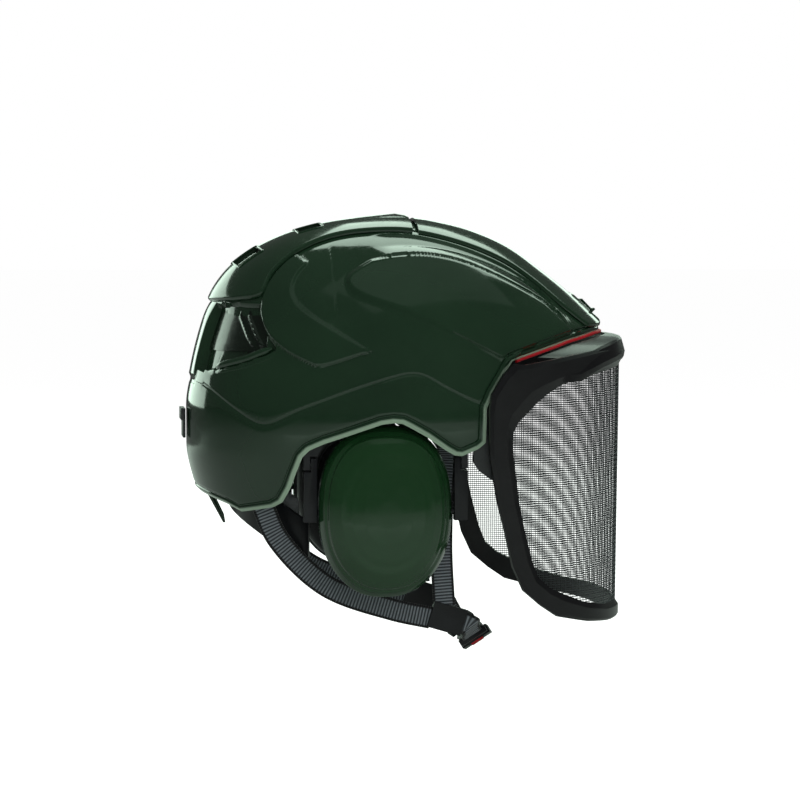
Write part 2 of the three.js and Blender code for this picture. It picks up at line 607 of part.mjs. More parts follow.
// Two links join the wide band to the band behind the ratchet.
const napeLink = (from) => ovalBand(HEADBAND, NAPE.inset, -36, -10, NAPE.wall, from, from + 0.24, 4);
add('nape_cradle', join(
  napeBand(NAPE, 24),
  ovalBand(HEADBAND, NAPE.inset, -12, 14, 2.4, 2.4, 3.88, 18),
  napeLink(2.84),
  napeLink(3.2),
), LOOKS.black);
const NAPE_PAD = { inset: 6.1, wall: 5.4, low: NAPE.low + 4, high: NAPE.high + 10, wingAngle: 2.3 };
add('nape_pad', napeBand(NAPE_PAD, 20), LOOKS.felt);
const RATCHET = { x: -106.5, z: -1, radius: 14 };
add('ratchet_housing', block(RATCHET.x - 3, RATCHET.x + 1.6, -26, 26, -13, 11), LOOKS.charcoal);
function ratchetKnob() {
  const teeth = 12;
  const toothDepth = 1.2;
  const rings = [RATCHET.x - 3.5, RATCHET.x - 11].map((x) => turn(teeth * 2).map((angle, i) => {
    const radius = RATCHET.radius - (i % 2) * toothDepth;
    return point(x, radius * Math.cos(angle), RATCHET.z + radius * Math.sin(angle));
  }));
  return loft(rings);
}
add('ratchet_knob', ratchetKnob(), LOOKS.black);

// ---------------------------------------------------------------- chin harness
// Moves a piece made flat (width along X, length along Y, face along Z) to its place on a strap.
function placeOnStrap(shape, at, along, out) {
  const across = new THREE.Vector3().crossVectors(along, out).normalize();
  const face = new THREE.Vector3().crossVectors(across, along).normalize();
  const basis = new THREE.Matrix4().makeBasis(across, along.clone().normalize(), face);
  return geometryOf(solid(shape)).applyMatrix4(basis.setPosition(at));
}

const sideways = point(0, 1, 0);
const divider = point(DIVIDER.x, STRAP_PLANE - 1, DIVIDER.z);
addPair('front_strap', webbing([[37, 80.5, 16], [36.5, 75, 6], [36, 62, -9], [35, 58, -24],
  [34, STRAP_PLANE, -70], [36, STRAP_PLANE - 1, DIVIDER.z + 13]], sideways), LOOKS.webbing);
addPair('rear_strap', webbing([[-86, 62, -38], [-76, 61, -60], [-44, 58, -92], [0, STRAP_PLANE, -109],
  [DIVIDER.x - 15.5, STRAP_PLANE - 1, DIVIDER.z + 1]], sideways), LOOKS.webbing);
const dividerRun = point(0.95, -0.1, -0.3).normalize();
const dividerPlate = placeOnStrap(block(-9, 9, -12, 12, -2.2, 2.2), divider, dividerRun, sideways);
addPair('strap_divider', dividerPlate, LOOKS.black);

// The chin strap runs from divider to divider, with the buckle on the right cheek. It leaves each
// divider flat beside the jaw and turns to face forward and down under the chin.
const chinFace = point(0.55, 0, -0.83);
const leavingDivider = [13.3, 17].map((reach) => divider.clone().addScaledVector(dividerRun, reach));
const CHIN_ROUTE = [...leavingDivider.map(({ x, y, z }) => [x, y, z]), [56.5, 48, -125.5],
  [59, 38, CHIN.z + 7], [CHIN.x + 5, 18, CHIN.z + 1], [CHIN.x + 6, 0, CHIN.z],
  [CHIN.x + 5, -14, CHIN.z + 0.6]];
const SHORT_ROUTE = [...leavingDivider.map(({ x, y, z }) => [x, -y, z]), [55.6, -47, -127],
  [57.5, -42.5, -129.5]];
add('chin_strap_left', webbing(CHIN_ROUTE, chinFace, WEBBING.width, 24, sideways), LOOKS.webbing);
add('chin_strap_right', webbing(SHORT_ROUTE, chinFace, WEBBING.width, 10, point(0, -1, 0)), LOOKS.webbing);

const BUCKLE = { at: point(62, -27, CHIN.z + 4.6), along: point(-0.27, -0.95, 0.2), halfWidth: 11 };
const onBuckle = (shape) => placeOnStrap(shape, BUCKLE.at, BUCKLE.along, chinFace);
const BUTTON = { width: 9, length: 7, pocket: 2.8 };
const buttonBlock = (grow, z0, z1) => block(-BUTTON.width / 2 - grow, BUTTON.width / 2 + grow,
  -2 - grow, -2 + BUTTON.length + grow, z0, z1);
add('buckle_female', onBuckle(cut(block(-BUCKLE.halfWidth, BUCKLE.halfWidth, -11, 6, -3, 3.4),
  buttonBlock(GAP, 3.4 - BUTTON.pocket, 10))), LOOKS.black);
add('buckle_button', onBuckle(buttonBlock(0, 3.4 - 0.7, 4.6)), LOOKS.red);
const maleBlock = block(-BUCKLE.halfWidth + 1, BUCKLE.halfWidth - 1, 6.4, 15, -2, 2.4);
add('buckle_male', onBuckle(maleBlock), LOOKS.black);

function strapKeeper() {
  const ring = cut(block(-10.7, 10.7, -4, 4, -3.2, 3.2), block(-8.7, 8.7, -5, 5, -2.1, 2.1));
  return placeOnStrap(ring, point(61.6, 30, CHIN.z + 4.4), point(0.38, -0.92, -0.2), chinFace);
}
add('strap_keeper', strapKeeper(), LOOKS.black);
function chinPad() {
  const sections = sweepOf(10, -14, 18).map((y) => {
    const half = 9 * Math.sqrt(1 - ((y - 2) / 17) ** 2) + 3;
    const back = point(CHIN.x + 6 - Math.abs(y) * 0.06, y, CHIN.z + Math.abs(y) * 0.05);
    return { at: back.addScaledVector(chinFace, -4.4), half };
  });
  const across = new THREE.Vector3().crossVectors(point(0, 1, 0), chinFace).normalize();
  return loft(sections.map(({ at, half }) => [
    at.clone().addScaledVector(across, half).addScaledVector(chinFace, 2.4),
    at.clone().addScaledVector(across, half).addScaledVector(chinFace, -2.4),
    at.clone().addScaledVector(across, -half).addScaledVector(chinFace, -2.4),
    at.clone().addScaledVector(across, -half).addScaledVector(chinFace, 2.4),
  ]));
}
add('chin_pad', chinPad(), LOOKS.cushion);

export default helmet;
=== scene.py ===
"""Looks of a forestry helmet with ear defenders, a mesh visor and a chin harness.

Shapes are worked out in millimetres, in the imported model's own frame: +X is the helmet's front, +Y the
wearer's left, +Z up, and the origin is the middle of the headband, level with its lowest edge.
"""
import json
import math

import bmesh
import bpy
import numpy as np
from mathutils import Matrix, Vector

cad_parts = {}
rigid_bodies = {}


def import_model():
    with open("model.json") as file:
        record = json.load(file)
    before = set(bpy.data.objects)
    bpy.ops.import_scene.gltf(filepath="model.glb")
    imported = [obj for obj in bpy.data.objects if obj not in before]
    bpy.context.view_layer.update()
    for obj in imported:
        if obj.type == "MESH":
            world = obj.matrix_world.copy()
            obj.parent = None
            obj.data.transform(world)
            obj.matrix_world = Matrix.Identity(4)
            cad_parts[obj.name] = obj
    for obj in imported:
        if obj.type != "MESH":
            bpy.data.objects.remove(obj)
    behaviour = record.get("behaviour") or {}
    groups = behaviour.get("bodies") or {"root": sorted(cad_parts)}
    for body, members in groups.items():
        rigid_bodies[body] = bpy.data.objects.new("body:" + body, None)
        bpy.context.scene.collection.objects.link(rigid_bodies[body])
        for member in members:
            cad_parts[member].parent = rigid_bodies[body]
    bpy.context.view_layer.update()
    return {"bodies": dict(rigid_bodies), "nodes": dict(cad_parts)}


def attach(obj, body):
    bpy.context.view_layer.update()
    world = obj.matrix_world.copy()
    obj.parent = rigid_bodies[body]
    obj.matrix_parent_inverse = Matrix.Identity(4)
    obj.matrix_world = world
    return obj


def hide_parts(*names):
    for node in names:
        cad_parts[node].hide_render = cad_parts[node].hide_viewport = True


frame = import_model()

MM = 0.001
MIRROR = np.array([1, -1, 1])

# -------- dimensions shared with the CAD
GAP = 0.4
SHELL_WALL = 3.0
DOME_TOP = 152.5
FRONT_REACH = [(-48, 140), (0, 152), (40, 158), (65, 157), (77, 152.5), (87, 143), (101, 128),
               (116, 109), (132, 86), (143, 60), (149, 35), (152.5, 10)]
REAR_REACH = [(-48, -121), (-30, -127), (0, -133), (25, -133), (50, -129), (75, -123), (100, -114),
              (116, -103), (128, -88), (138, -68), (146, -42), (150, -18), (152.5, 10)]
HALF_WIDTH = [(-48, 91), (-25, 99), (0, 104), (20, 105.5), (45, 104), (65, 100.5), (85, 93),
              (100, 84.5), (115, 73.5), (130, 58), (142, 38.5), (149, 20), (152.5, 1)]
# Side outline [x, z] of the shell's lower edge, from the brim's corner to the back.
BRIM_EDGE = [(75, 58), (82, 60.5), (117, 71), (141, 76), (160, 77.5)]
SIDE_EDGE = [(75, 58), (71, 51), (62, 37), (57.5, 27), (57, 5), (52, 1), (41, -3.4), (36, -2.8),
             (30, 0.6), (17, 9.7), (6, 16), (1, 18.5), (-5, 19), (-12.5, 18), (-32, 11.4), (-49, 5.7),
             (-59, 1.2), (-63.5, -3.5), (-67.5, -14.5), (-70.5, -24), (-75.5, -34), (-81, -37.5),
             (-101, -42), (-110, -37.5), (-126, -32)]
CREST_EDGE = [(134, 79), (117, 92), (95, 111), (79, 122), (51, 134), (18, 142), (-5, 142.8),
              (-33, 139.6), (-54, 132.4), (-69, 123.3), (-79, 113.2), (-86, 101), (-104, 97)]
CREST_JOINT_X = 19
CREST_REAR_Z = 96
RECESS = [(-86, 96), (-88, 89), (-84, 76), (-78, 66), (-98, 58), (-116, 52), (-140, 50), (-140, 94)]
SPINE_HALF_WIDTH = 22
VENTS = [dict(x=-48, z=140, length=16, half_width=20, tilt=0.3),
         dict(x=-88, z=122, length=18, half_width=26, tilt=0.85)]
VENT_GAP = 3             # from the middle plane to each vent
VISOR = dict(middle=50, front=163, rear=-60, half_width=104, power=2.5, lean=2, lean_from=60, lean_over=170)
FRAME_OPENING = [(170, 55), (106, 42), (90, 31), (75.5, 16), (73.6, 8), (75, -14), (81, -50),
                 (90, -82), (99, -90.5), (122, -101.5), (142, -106.5), (170, -107.5)]
SEAL_HEIGHT = 1.8
EAR = dict(x=-8.5, z=-39.5, half_length=43.5, half_height=56, rim=84, face=112, wall=2.5)
CUSHION = dict(inner=66, outer=80.4)
HEADBAND = dict(front=106, rear=-104, half_width=78.6, middle=0, power=2.2, high=30)
BROW_RISE = 40
CRADLE_TOP = 119
NAPE = dict(wing_angle=2.2, wing_drop=36, wing_tuck=14)
STRAP_PLANE = 57
DIVIDER = (38, -116)
CHIN = (60, -138)
STRAP_WIDTH = 15
STRAP_THICKNESS = 1.6
STRAP_TWIST_LENGTH = 14


# -------- numbers and curves
def smooth_through(pairs):
    """A smooth function through (position, value) pairs, without overshoot."""
    xs, ys = np.array(pairs, float).T
    slope = np.diff(ys) / np.diff(xs)
    before, after = slope[:-1], slope[1:]
    total = np.where(before + after == 0, 1, before + after)
    middle = np.where(before * after > 0, 2 * before * after / total, 0)
    tangent = np.concatenate([slope[:1], middle, slope[-1:]])

    def value(at):
        at = np.clip(at, xs[0], xs[-1])
        i = np.clip(np.searchsorted(xs, at, side="right") - 1, 0, len(xs) - 2)
        span = xs[i + 1] - xs[i]
        t = (at - xs[i]) / span
        keep = 2 * t**3 - 3 * t**2 + 1
        bend = tangent[i] * (t**3 - 2 * t**2 + t) + tangent[i + 1] * (t**3 - t**2)
        return ys[i] * keep + ys[i + 1] * (1 - keep) + span * bend

    return value


def smoothstep(t):
    """A soft step from 0 to 1 as t goes from 0 to 1."""
    t = np.clip(t, 0, 1)
    return t * t * (3 - 2 * t)


def round_over(t):
    """A quarter circle that rises from 0 to 1 as t goes from 0 to 1."""
    return (1 - (1 - np.clip(t, 0, 1)) ** 2) ** 0.5


def bell(distance, width):
    """1 at no distance, and close to 0 from two widths on."""
    return np.exp(-(distance / width) ** 2)


def unit(v):
    v = np.asarray(v, float)
    return v / np.maximum(np.linalg.norm(v, axis=-1, keepdims=True), 1e-9)


def run_along(points):
    """The distance run along a line of points, at each of them."""
    return np.concatenate([[0], np.cumsum(np.linalg.norm(np.diff(points, axis=0), axis=1))])


def along_line(points, count):
    """A line of points resampled to even steps."""
    points = np.asarray(points, float)
    run = run_along(points)
    at = np.linspace(0, run[-1], count)
    return np.stack([np.interp(at, run, column) for column in points.T], -1)


def smooth_route(points, count):
    """An even, smooth centripetal curve through a few 3-D points."""
    p = np.asarray(points, float)
    p = np.vstack([2 * p[0] - p[1], p, 2 * p[-1] - p[-2]])
    out = []
    for a, b, c, d in zip(p, p[1:], p[2:], p[3:]):
        t0 = 0
        t1 = t0 + np.linalg.norm(b - a) ** 0.5
        t2 = t1 + np.linalg.norm(c - b) ** 0.5
        t3 = t2 + np.linalg.norm(d - c) ** 0.5
        t = np.linspace(t1, t2, 24)[:, None]
        ab = (t1 - t) / (t1 - t0) * a + (t - t0) / (t1 - t0) * b
        bc = (t2 - t) / (t2 - t1) * b + (t - t1) / (t2 - t1) * c
        cd = (t3 - t) / (t3 - t2) * c + (t - t2) / (t3 - t2) * d
        abc = (t2 - t) / (t2 - t0) * ab + (t - t0) / (t2 - t0) * bc
        bcd = (t3 - t) / (t3 - t1) * bc + (t - t1) / (t3 - t1) * cd
        out.append((t2 - t) / (t2 - t1) * abc + (t - t1) / (t2 - t1) * bcd)
    return along_line(np.vstack(out), count)


def oval(angle, front, rear, half_width, middle, power):
    """x and y on a superellipse whose front and rear halves differ in length."""
    c, s = np.cos(angle), np.sin(angle)
    reach = np.where(c > 0, front - middle, middle - rear)
    x = middle + reach * np.sign(c) * np.abs(c) ** (2 / power)
    return x, half_width * np.sign(s) * np.abs(s) ** (2 / power)


front_reach = smooth_through(FRONT_REACH)
rear_reach = smooth_through(REAR_REACH)
half_width_at = smooth_through(HALF_WIDTH)


def dome_middle(z):
    """Where the plan is widest: it moves from 4 mm behind the origin to 10 mm before it towards the top."""
    return -4 + 14 * np.clip((z - 100) / (DOME_TOP - 100), 0, 1)


def dome_power(z):
    """The plan's superellipse power, which falls towards the top."""
    return 2.35 - 0.25 * np.clip((z - 70) / 70, 0, 1)


def dome_plan(x, z):
    """Middle, power and reach of the plan at height z, on the side of its middle where x is."""
    middle = dome_middle(z)
    return middle, dome_power(z), np.where(x > middle, front_reach(z) - middle, middle - rear_reach(z))


def dome(angle, z, offset=0.0):
    """The shell's outer surface, moved out by offset along its normal."""
    angle, z, offset = np.broadcast_arrays(*(np.asarray(v, float) for v in (angle, z, offset)))

    def surface(angle, z):
        x, y = oval(angle, front_reach(z), rear_reach(z), half_width_at(z), dome_middle(z), dome_power(z))
        return np.stack([x, y, np.broadcast_to(z, x.shape)], -1)

    here = surface(angle, z)
    around = surface(angle + 0.02, z) - surface(angle - 0.02, z)
    up = surface(angle, z + 0.5) - surface(angle, z - 0.5)
    normal = unit(np.cross(around, up))
    flat = smoothstep((z - 150.8) / 1.5)[..., None]
    normal = unit(normal * (1 - flat) + np.array([0, 0, 1.0]) * flat)
    return here + normal * offset[..., None]


def dome_level(p):
    """Below 0 inside the dome and above 0 outside it."""
    x, y, z = p[..., 0], p[..., 1], p[..., 2]
    middle, power, reach = dome_plan(x, z)
    level = (np.abs(x - middle) / reach) ** power + (np.abs(y) / half_width_at(z)) ** power - 1
    return np.where(z >= DOME_TOP, 9, level)


def dome_angle(x, y, z):
    """The angle at which a point of the dome's surface lies."""
    middle, power, reach = dome_plan(x, z)
    along = np.sign(x - middle) * (np.abs(x - middle) / reach) ** (power / 2)
    across = np.sign(y) * (np.abs(y) / half_width_at(z)) ** (power / 2)
    return np.arctan2(across, along)


def edge_angle(x, z):
    """Angle at which the dome, at height z, passes x on the left side."""
    x, z = np.asarray(x, float), np.asarray(z, float)
    middle, power, reach = dome_plan(x, z)
    share = np.clip((x - middle) / reach, -1, 1)
    return np.arccos(np.sign(share) * np.abs(share) ** (power / 2))


def on_dome(outline, offset=0.0, step=1.5):
    """A side outline [x, z] laid on the left side of the dome, as close 3-D points."""
    outline = np.asarray(outline, float)
    length = np.linalg.norm(np.diff(outline, axis=0), axis=1).sum()
    dense = along_line(outline, max(8, int(length / step)))
    return dome(edge_angle(dense[:, 0], dense[:, 1]), dense[:, 1], offset)


def rays_to_dome(origin, directions):
    """Where rays from a point inside the dome reach its surface."""
    low = np.zeros(directions.shape[:-1])
    high = np.full(directions.shape[:-1], 260.0)
    for _ in range(40):
        half = (low + high) / 2
        inside = dome_level(origin + directions * half[..., None]) < 0
        low = np.where(inside, half, low)
        high = np.where(inside, high, half)
    return origin + directions * low[..., None]


def distance_to(points, line, limit=30.0):
    """Distance from each point to a line of 3-D points, no more than limit."""
    points, line = np.asarray(points, float), np.asarray(line, float)
    near = np.all((points > line.min(0) - limit) & (points < line.max(0) + limit), axis=1)
    best = np.full(len(points), limit)
    some = points[near]
    nearest = np.full(len(some), limit)
    for a, b in zip(line, line[1:]):
        along = b - a
        t = np.clip((some - a) @ along / max(along @ along, 1e-9), 0, 1)
        gap = np.linalg.norm(some - a - t[:, None] * along, axis=1)
        nearest = np.minimum(nearest, gap)
    best[near] = nearest
    return best


def inside(points, polygon):
    """Whether side-view points [x, z] lie in a polygon."""
    x, z = points[:, 0], points[:, 1]
    result = np.zeros(len(points), bool)
    corners = np.asarray(polygon, float)
    for (x0, z0), (x1, z1) in zip(corners, np.roll(corners, -1, axis=0)):
        if z0 == z1:
            continue
        crosses = (z0 > z) != (z1 > z)
        result ^= crosses & (x < x0 + (z - z0) * (x1 - x0) / (z1 - z0))
    return result


# -------- meshes
def grid_faces(rows, columns, wrap=False, start=0):
    """Quads of a grid of points numbered row by row from start; wrap closes each row on itself."""
    r, c = np.mgrid[0:rows - 1, 0:columns if wrap else columns - 1]
    a = start + r * columns + c
    b = start + r * columns + (c + 1) % columns
    return np.stack([a, b, b + columns, a + columns], -1).reshape(-1, 4).tolist()


def loft(rings, looped=False):
    """Points and faces of a closed body through rings of equal point counts."""
    rings = np.asarray(rings, float)
    rows, columns = rings.shape[:2]
    faces = grid_faces(rows, columns, wrap=True)
    if looped:
        last = (rows - 1) * columns
        for i in range(columns):
            j = (i + 1) % columns
            faces.append([last + i, last + j, j, i])
    else:
        faces.append(list(range(columns)))
        faces.append(list(range((rows - 1) * columns, rows * columns)))
    return rings.reshape(-1, 3), faces


def slab(top, bottom):
    """Points and faces of a closed sheet between two grids of the same size."""
    rows, columns = top.shape[:2]
    size = rows * columns
    faces = grid_faces(rows, columns)
    faces += [face[::-1] for face in grid_faces(rows, columns, start=size)]
    index = np.arange(size).reshape(rows, columns)
    border = np.concatenate([index[0], index[1:, -1], index[-1, -2::-1], index[-2:0:-1, 0]]).tolist()
    for a, b in zip(border, border[1:] + border[:1]):
        faces.append([b, a, a + size, b + size])
    return np.concatenate([top.reshape(-1, 3), bottom.reshape(-1, 3)]), faces


def merge(*bodies):
    """Several (points, faces) bodies as one."""
    points, faces, start = [], [], 0
    for body_points, body_faces in bodies:
        points.append(np.asarray(body_points, float))
        faces += [[start + i for i in face] for face in body_faces]
        start += len(body_points)
    return np.concatenate(points), faces


def mirrored(body):
    """A left-hand body's right-hand twin."""
    points, faces = body
    return points * MIRROR, [face[::-1] for face in faces]


def sweep(centre, across, normal, section, half, thick):
    """Rings along a line; the section is in shares of half its width and half its thickness."""
    return np.stack([centre + across * half * a + normal * thick * b for a, b in section], -2)


def turn_faces_out(mesh):
    work = bmesh.new()
    work.from_mesh(mesh)
    bmesh.ops.recalc_face_normals(work, faces=work.faces)
    work.to_mesh(mesh)
    work.free()


def add_object(name, data):
    obj = bpy.data.objects.new(name, data)
    bpy.context.scene.collection.objects.link(obj)
    return obj


def make(name, body, rides, material, replaces=(), slot=None, sharp=40, attributes=None):
    """A Blender object from millimetre points and faces, riding on a CAD body."""
    points, faces = body
    mesh = bpy.data.meshes.new(name)
    mesh.from_pydata((np.asarray(points) * MM).tolist(), [], faces)
    for key, values in (attributes or {}).items():
        mesh.attributes.new(key, "FLOAT", "POINT").data.foreach_set("value", values.astype(np.float32))
    turn_faces_out(mesh)
    mesh.materials.append(material)
    obj = add_object(name, mesh)
    smooth(mesh, sharp)
    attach(obj, rides)
    if replaces:
        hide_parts(*([replaces] if isinstance(replaces, str) else replaces))
    return obj


def smooth(mesh, sharp=40):
    """Smooth shading, with edges sharper than an angle in degrees kept."""
    mesh.polygons.foreach_set("use_smooth", np.ones(len(mesh.polygons), bool))
    mesh.set_sharp_from_angle(angle=math.radians(sharp))
    mesh.update()


def make_pair(name, body, rides, material, node=None, **more):
    """The left piece and its mirror image on the right."""
    for side, shape in (("left", body), ("right", mirrored(body))):
        on = rides if rides in frame["bodies"] else f"{rides}_{side}"
        make(f"{name}_{side}", shape, on, material, f"{node}_{side}" if node else (), **more)


def tube(route, radius, sides=8):
    """A round rod along a line of points."""
    route = np.asarray(route, float)
    along = unit(np.gradient(route, axis=0))
    helper = np.where(np.abs(along[:, 2:3]) > 0.9, [[1.0, 0, 0]], [[0, 0, 1.0]])
    across = unit(np.cross(along, helper))
    up = np.cross(across, along)
    turn = np.linspace(0, 2 * np.pi, sides, endpoint=False)
    radius = np.broadcast_to(radius, len(route))[:, None, None]
    ring = np.cos(turn)[None, :, None] * across[:, None] + np.sin(turn)[None, :, None] * up[:, None]
    return loft(route[:, None] + radius * ring)


# -------- materials
class Nodes:
    """A short way to build a node material."""

    def __init__(self, name):
        self.material = bpy.data.materials.new(name)
        self.material.use_nodes = True
        self.tree = self.material.node_tree
        self.shader = self.tree.nodes["Principled BSDF"]

    def add(self, kind, **values):
        node = self.tree.nodes.new(kind)
        for key, value in values.items():
            if hasattr(node, key) and key not in node.inputs:
                setattr(node, key, value)
            else:
                self.put(node.inputs[key], value)
        return node

    def put(self, socket, value):
        if isinstance(value, bpy.types.NodeSocket):
            self.tree.links.new(value, socket)
        else:
            socket.default_value = value

    def math(self, operation, a, b=0.0, c=0.0):
        node = self.tree.nodes.new("ShaderNodeMath")
        node.operation = operation
        for socket, value in zip(node.inputs, (a, b, c)):
            self.put(socket, value)
        return node.outputs[0]

    def where(self):
        """Position on the object, in metres."""
        return self.add("ShaderNodeTexCoord").outputs["Object"]

    def noise(self, scale, detail=3.0, roughness=0.5, at=None):
        node = self.add("ShaderNodeTexNoise", Vector=at or self.where(), Scale=scale, Detail=detail,
                        Roughness=roughness)
        return node.outputs["Fac"]

    def attribute(self, name):
        return self.add("ShaderNodeAttribute", attribute_name=name).outputs["Fac"]

    def blend(self, share, a, b):
        node = self.tree.nodes.new("ShaderNodeMix")
        node.data_type = "RGBA"
        self.put(node.inputs[0], share)
        self.put(node.inputs[6], a)
        self.put(node.inputs[7], b)
        return node.outputs[2]

    def range(self, value, low, high, to_low, to_high):
        node = self.add("ShaderNodeMapRange", Value=value)
        for key, number in zip(("From Min", "From Max", "To Min", "To Max"), (low, high, to_low, to_high)):
            node.inputs[key].default_value = number
        return node.outputs[0]

    def bell(self, distance, width):
        """1 on a line and 0 away from it."""
        share = self.math("DIVIDE", distance, width)
        return self.math("POWER", 2.718, self.math("MULTIPLY", self.math("MULTIPLY", share, share), -1.0))

    def bump(self, height, depth, strength=1.0, normal=None):
        node = self.add("ShaderNodeBump", Strength=strength, Distance=depth, Height=height)
        if normal is not None:
            self.put(node.inputs["Normal"], normal)
        return node.outputs[0]

    def finish(self, **values):
        names = dict(color="Base Color", roughness="Roughness", metallic="Metallic", normal="Normal",
                     coat="Coat Weight", coat_roughness="Coat Roughness", specular="Specular IOR Level",
                     sheen="Sheen Weight", sheen_tint="Sheen Tint", coat_normal="Coat Normal")
        for key, value in values.items():
            self.put(self.shader.inputs[names[key]], value)
        return self.material


def rgb(red, green, blue):
    """An 8-bit screen colour as linear RGBA."""
    linear = [((c / 255 + 0.055) / 1.055) ** 2.4 if c > 10 else c / 3295 for c in (red, green, blue)]
    return (*linear, 1)


def glossy_plastic(name, color, lighter, roughness=0.12, lines=(), painted_rim_highlight=None):
    """Moulded gloss plastic: slight colour drift, orange peel and fine rubbing. lines are (attribute, depth
    in metres, width in millimetres) grooves, drawn from each point's distance to a line.
    painted_rim_highlight is the (width in millimetres, colour) of a painted highlight along the rim: a paler
    band standing in for the light that the rim's bevel catches."""
    n = Nodes(name)
    drift = n.range(n.noise(14, 4), 0.3, 0.7, 0, 1)
    rubbed = n.range(n.noise(220, 5, 0.65), 0.45, 0.8, 0, 1)
    normal = n.bump(n.noise(420, 2), 0.00002, 0.35)
    paint = n.blend(drift, color, lighter)
    for attribute, depth, width in lines:
        groove = n.bell(n.attribute(attribute), width)
        normal = n.bump(groove, depth, 1.0, normal)
    if painted_rim_highlight:
        width, highlight_color = painted_rim_highlight
        # Painted highlight: paler colour within the given width of the rim, standing in for light on the
        # rim's bevel.
        edge = n.range(n.attribute("rim_distance"), width, width + 1.3, 1, 0)
        paint = n.blend(edge, paint, highlight_color)
    return n.finish(color=paint,
                    roughness=n.math("MULTIPLY_ADD", rubbed, 0.1, roughness),
                    specular=0.5, coat=0.35, coat_roughness=0.04, normal=normal, coat_normal=normal)


def moulded_plastic(name, color, lighter, roughness=0.42, grain=900, depth=0.00005):
    """Satin moulded plastic with a fine spark-eroded grain and slightly paler rubbed patches."""
    n = Nodes(name)
    worn = n.range(n.noise(45, 6, 0.6), 0.45, 0.75, 0, 1)
    texture = n.noise(grain, 4, 0.7)
    return n.finish(color=n.blend(worn, color, lighter),
                    roughness=n.math("MULTIPLY_ADD", texture, 0.2, roughness - 0.1),
                    normal=n.bump(texture, depth, 0.6))


def felt(name, color, lighter):
    """Pressed fibres with soft tufts."""
    n = Nodes(name)
    fibres = n.noise(1600, 6, 0.8)
    tufts = n.noise(260, 4, 0.6)
    height = n.math("MULTIPLY_ADD", tufts, 1.4, fibres)
    return n.finish(color=n.blend(n.range(height, 0.8, 1.6, 0, 1), color, lighter), roughness=0.95,
                    sheen=0.5, normal=n.bump(height, 0.0004, 0.9))


def foam(name, color, lighter):
    """Open foam of fine cells."""
    n = Nodes(name)
    cells = n.add("ShaderNodeTexVoronoi", Vector=n.where(), Scale=480.0).outputs["Distance"]
    return n.finish(color=n.blend(n.range(cells, 0.1, 0.8, 0, 1), color, lighter), roughness=0.9,
                    normal=n.bump(cells, 0.0005, 0.8))


def leatherette(name, color, lighter):
    """Soft pebbled skin with shallow wrinkles."""
    n = Nodes(name)
    pebbles = n.add("ShaderNodeTexVoronoi", Vector=n.where(), Scale=620.0).outputs["Distance"]
    wrinkles = n.noise(120, 5, 0.6)
    height = n.math("MULTIPLY_ADD", wrinkles, 0.8, pebbles)
    return n.finish(color=n.blend(n.range(wrinkles, 0.35, 0.7, 0, 1), color, lighter),
                    roughness=n.range(wrinkles, 0.3, 0.7, 0.38, 0.55), normal=n.bump(height, 0.00025, 0.7))


RIB_PITCH, THREAD_PITCH, STITCH_PITCH = 2.1, 0.75, 1.6


def woven_strap(name):
    """Webbing from the strap's own lengthwise and crosswise distances in millimetres: ribs across the
    width, a fine weave, and a dark selvage on both edges."""
    n = Nodes(name)
    along, across = n.attribute("along"), n.attribute("across")

    def wave(distance, pitch):
        return n.math("SINE", n.math("MULTIPLY", distance, 2 * math.pi / pitch))

    ribs = n.range(wave(along, RIB_PITCH), -0.6, 0.8, 0, 1)
    weave = wave(across, THREAD_PITCH)
    crossing = n.math("MULTIPLY", ribs, n.range(weave, -1, 1, 0.7, 1))
    edge = n.range(n.math("ABSOLUTE", across), 5.4, 6.0, 0, 1)
    fuzz = n.noise(900, 4, 0.7)
    thread = n.blend(crossing, rgb(44, 46, 50), rgb(150, 155, 163))
    thread = n.blend(n.range(fuzz, 0.3, 0.7, 0, 0.35), thread, rgb(78, 82, 90))
    color = n.blend(edge, thread, rgb(17, 17, 20))
    height = n.math("ADD", crossing, n.math("MULTIPLY", edge, wave(along, STITCH_PITCH)))
    return n.finish(color=color, roughness=0.82, sheen=0.25, normal=n.bump(height, 0.0004, 0.8))


def metal(name, color, roughness=0.3):
    """Brushed metal."""
    n = Nodes(name)
    brushed = n.noise(700, 5, 0.7)
    return n.finish(color=n.blend(brushed, color, rgb(120, 124, 128)), metallic=1.0,
                    roughness=n.math("MULTIPLY_ADD", brushed, 0.25, roughness),
                    normal=n.bump(brushed, 0.00003, 0.4))


SHELL_LINES = [("rim_groove", -0.0009, 0.8), ("wing_line", -0.0005, 1.1), ("band_line", -0.0006, 0.7),
               ("ledge_line", -0.0005, 0.6), ("panel_line", -0.0002, 1.8)]
GREEN, GREEN_LIGHT = rgb(26, 48, 32), rgb(32, 56, 38)
# The pale rgb(158, 180, 158) along the rim is a painted highlight standing in for light on the rim's bevel.
shell_green = glossy_plastic("shell_green", GREEN, GREEN_LIGHT, 0.09, SHELL_LINES, (2.1, rgb(158, 180, 158)))
trim_green = glossy_plastic("trim_green", GREEN, GREEN_LIGHT, 0.12)
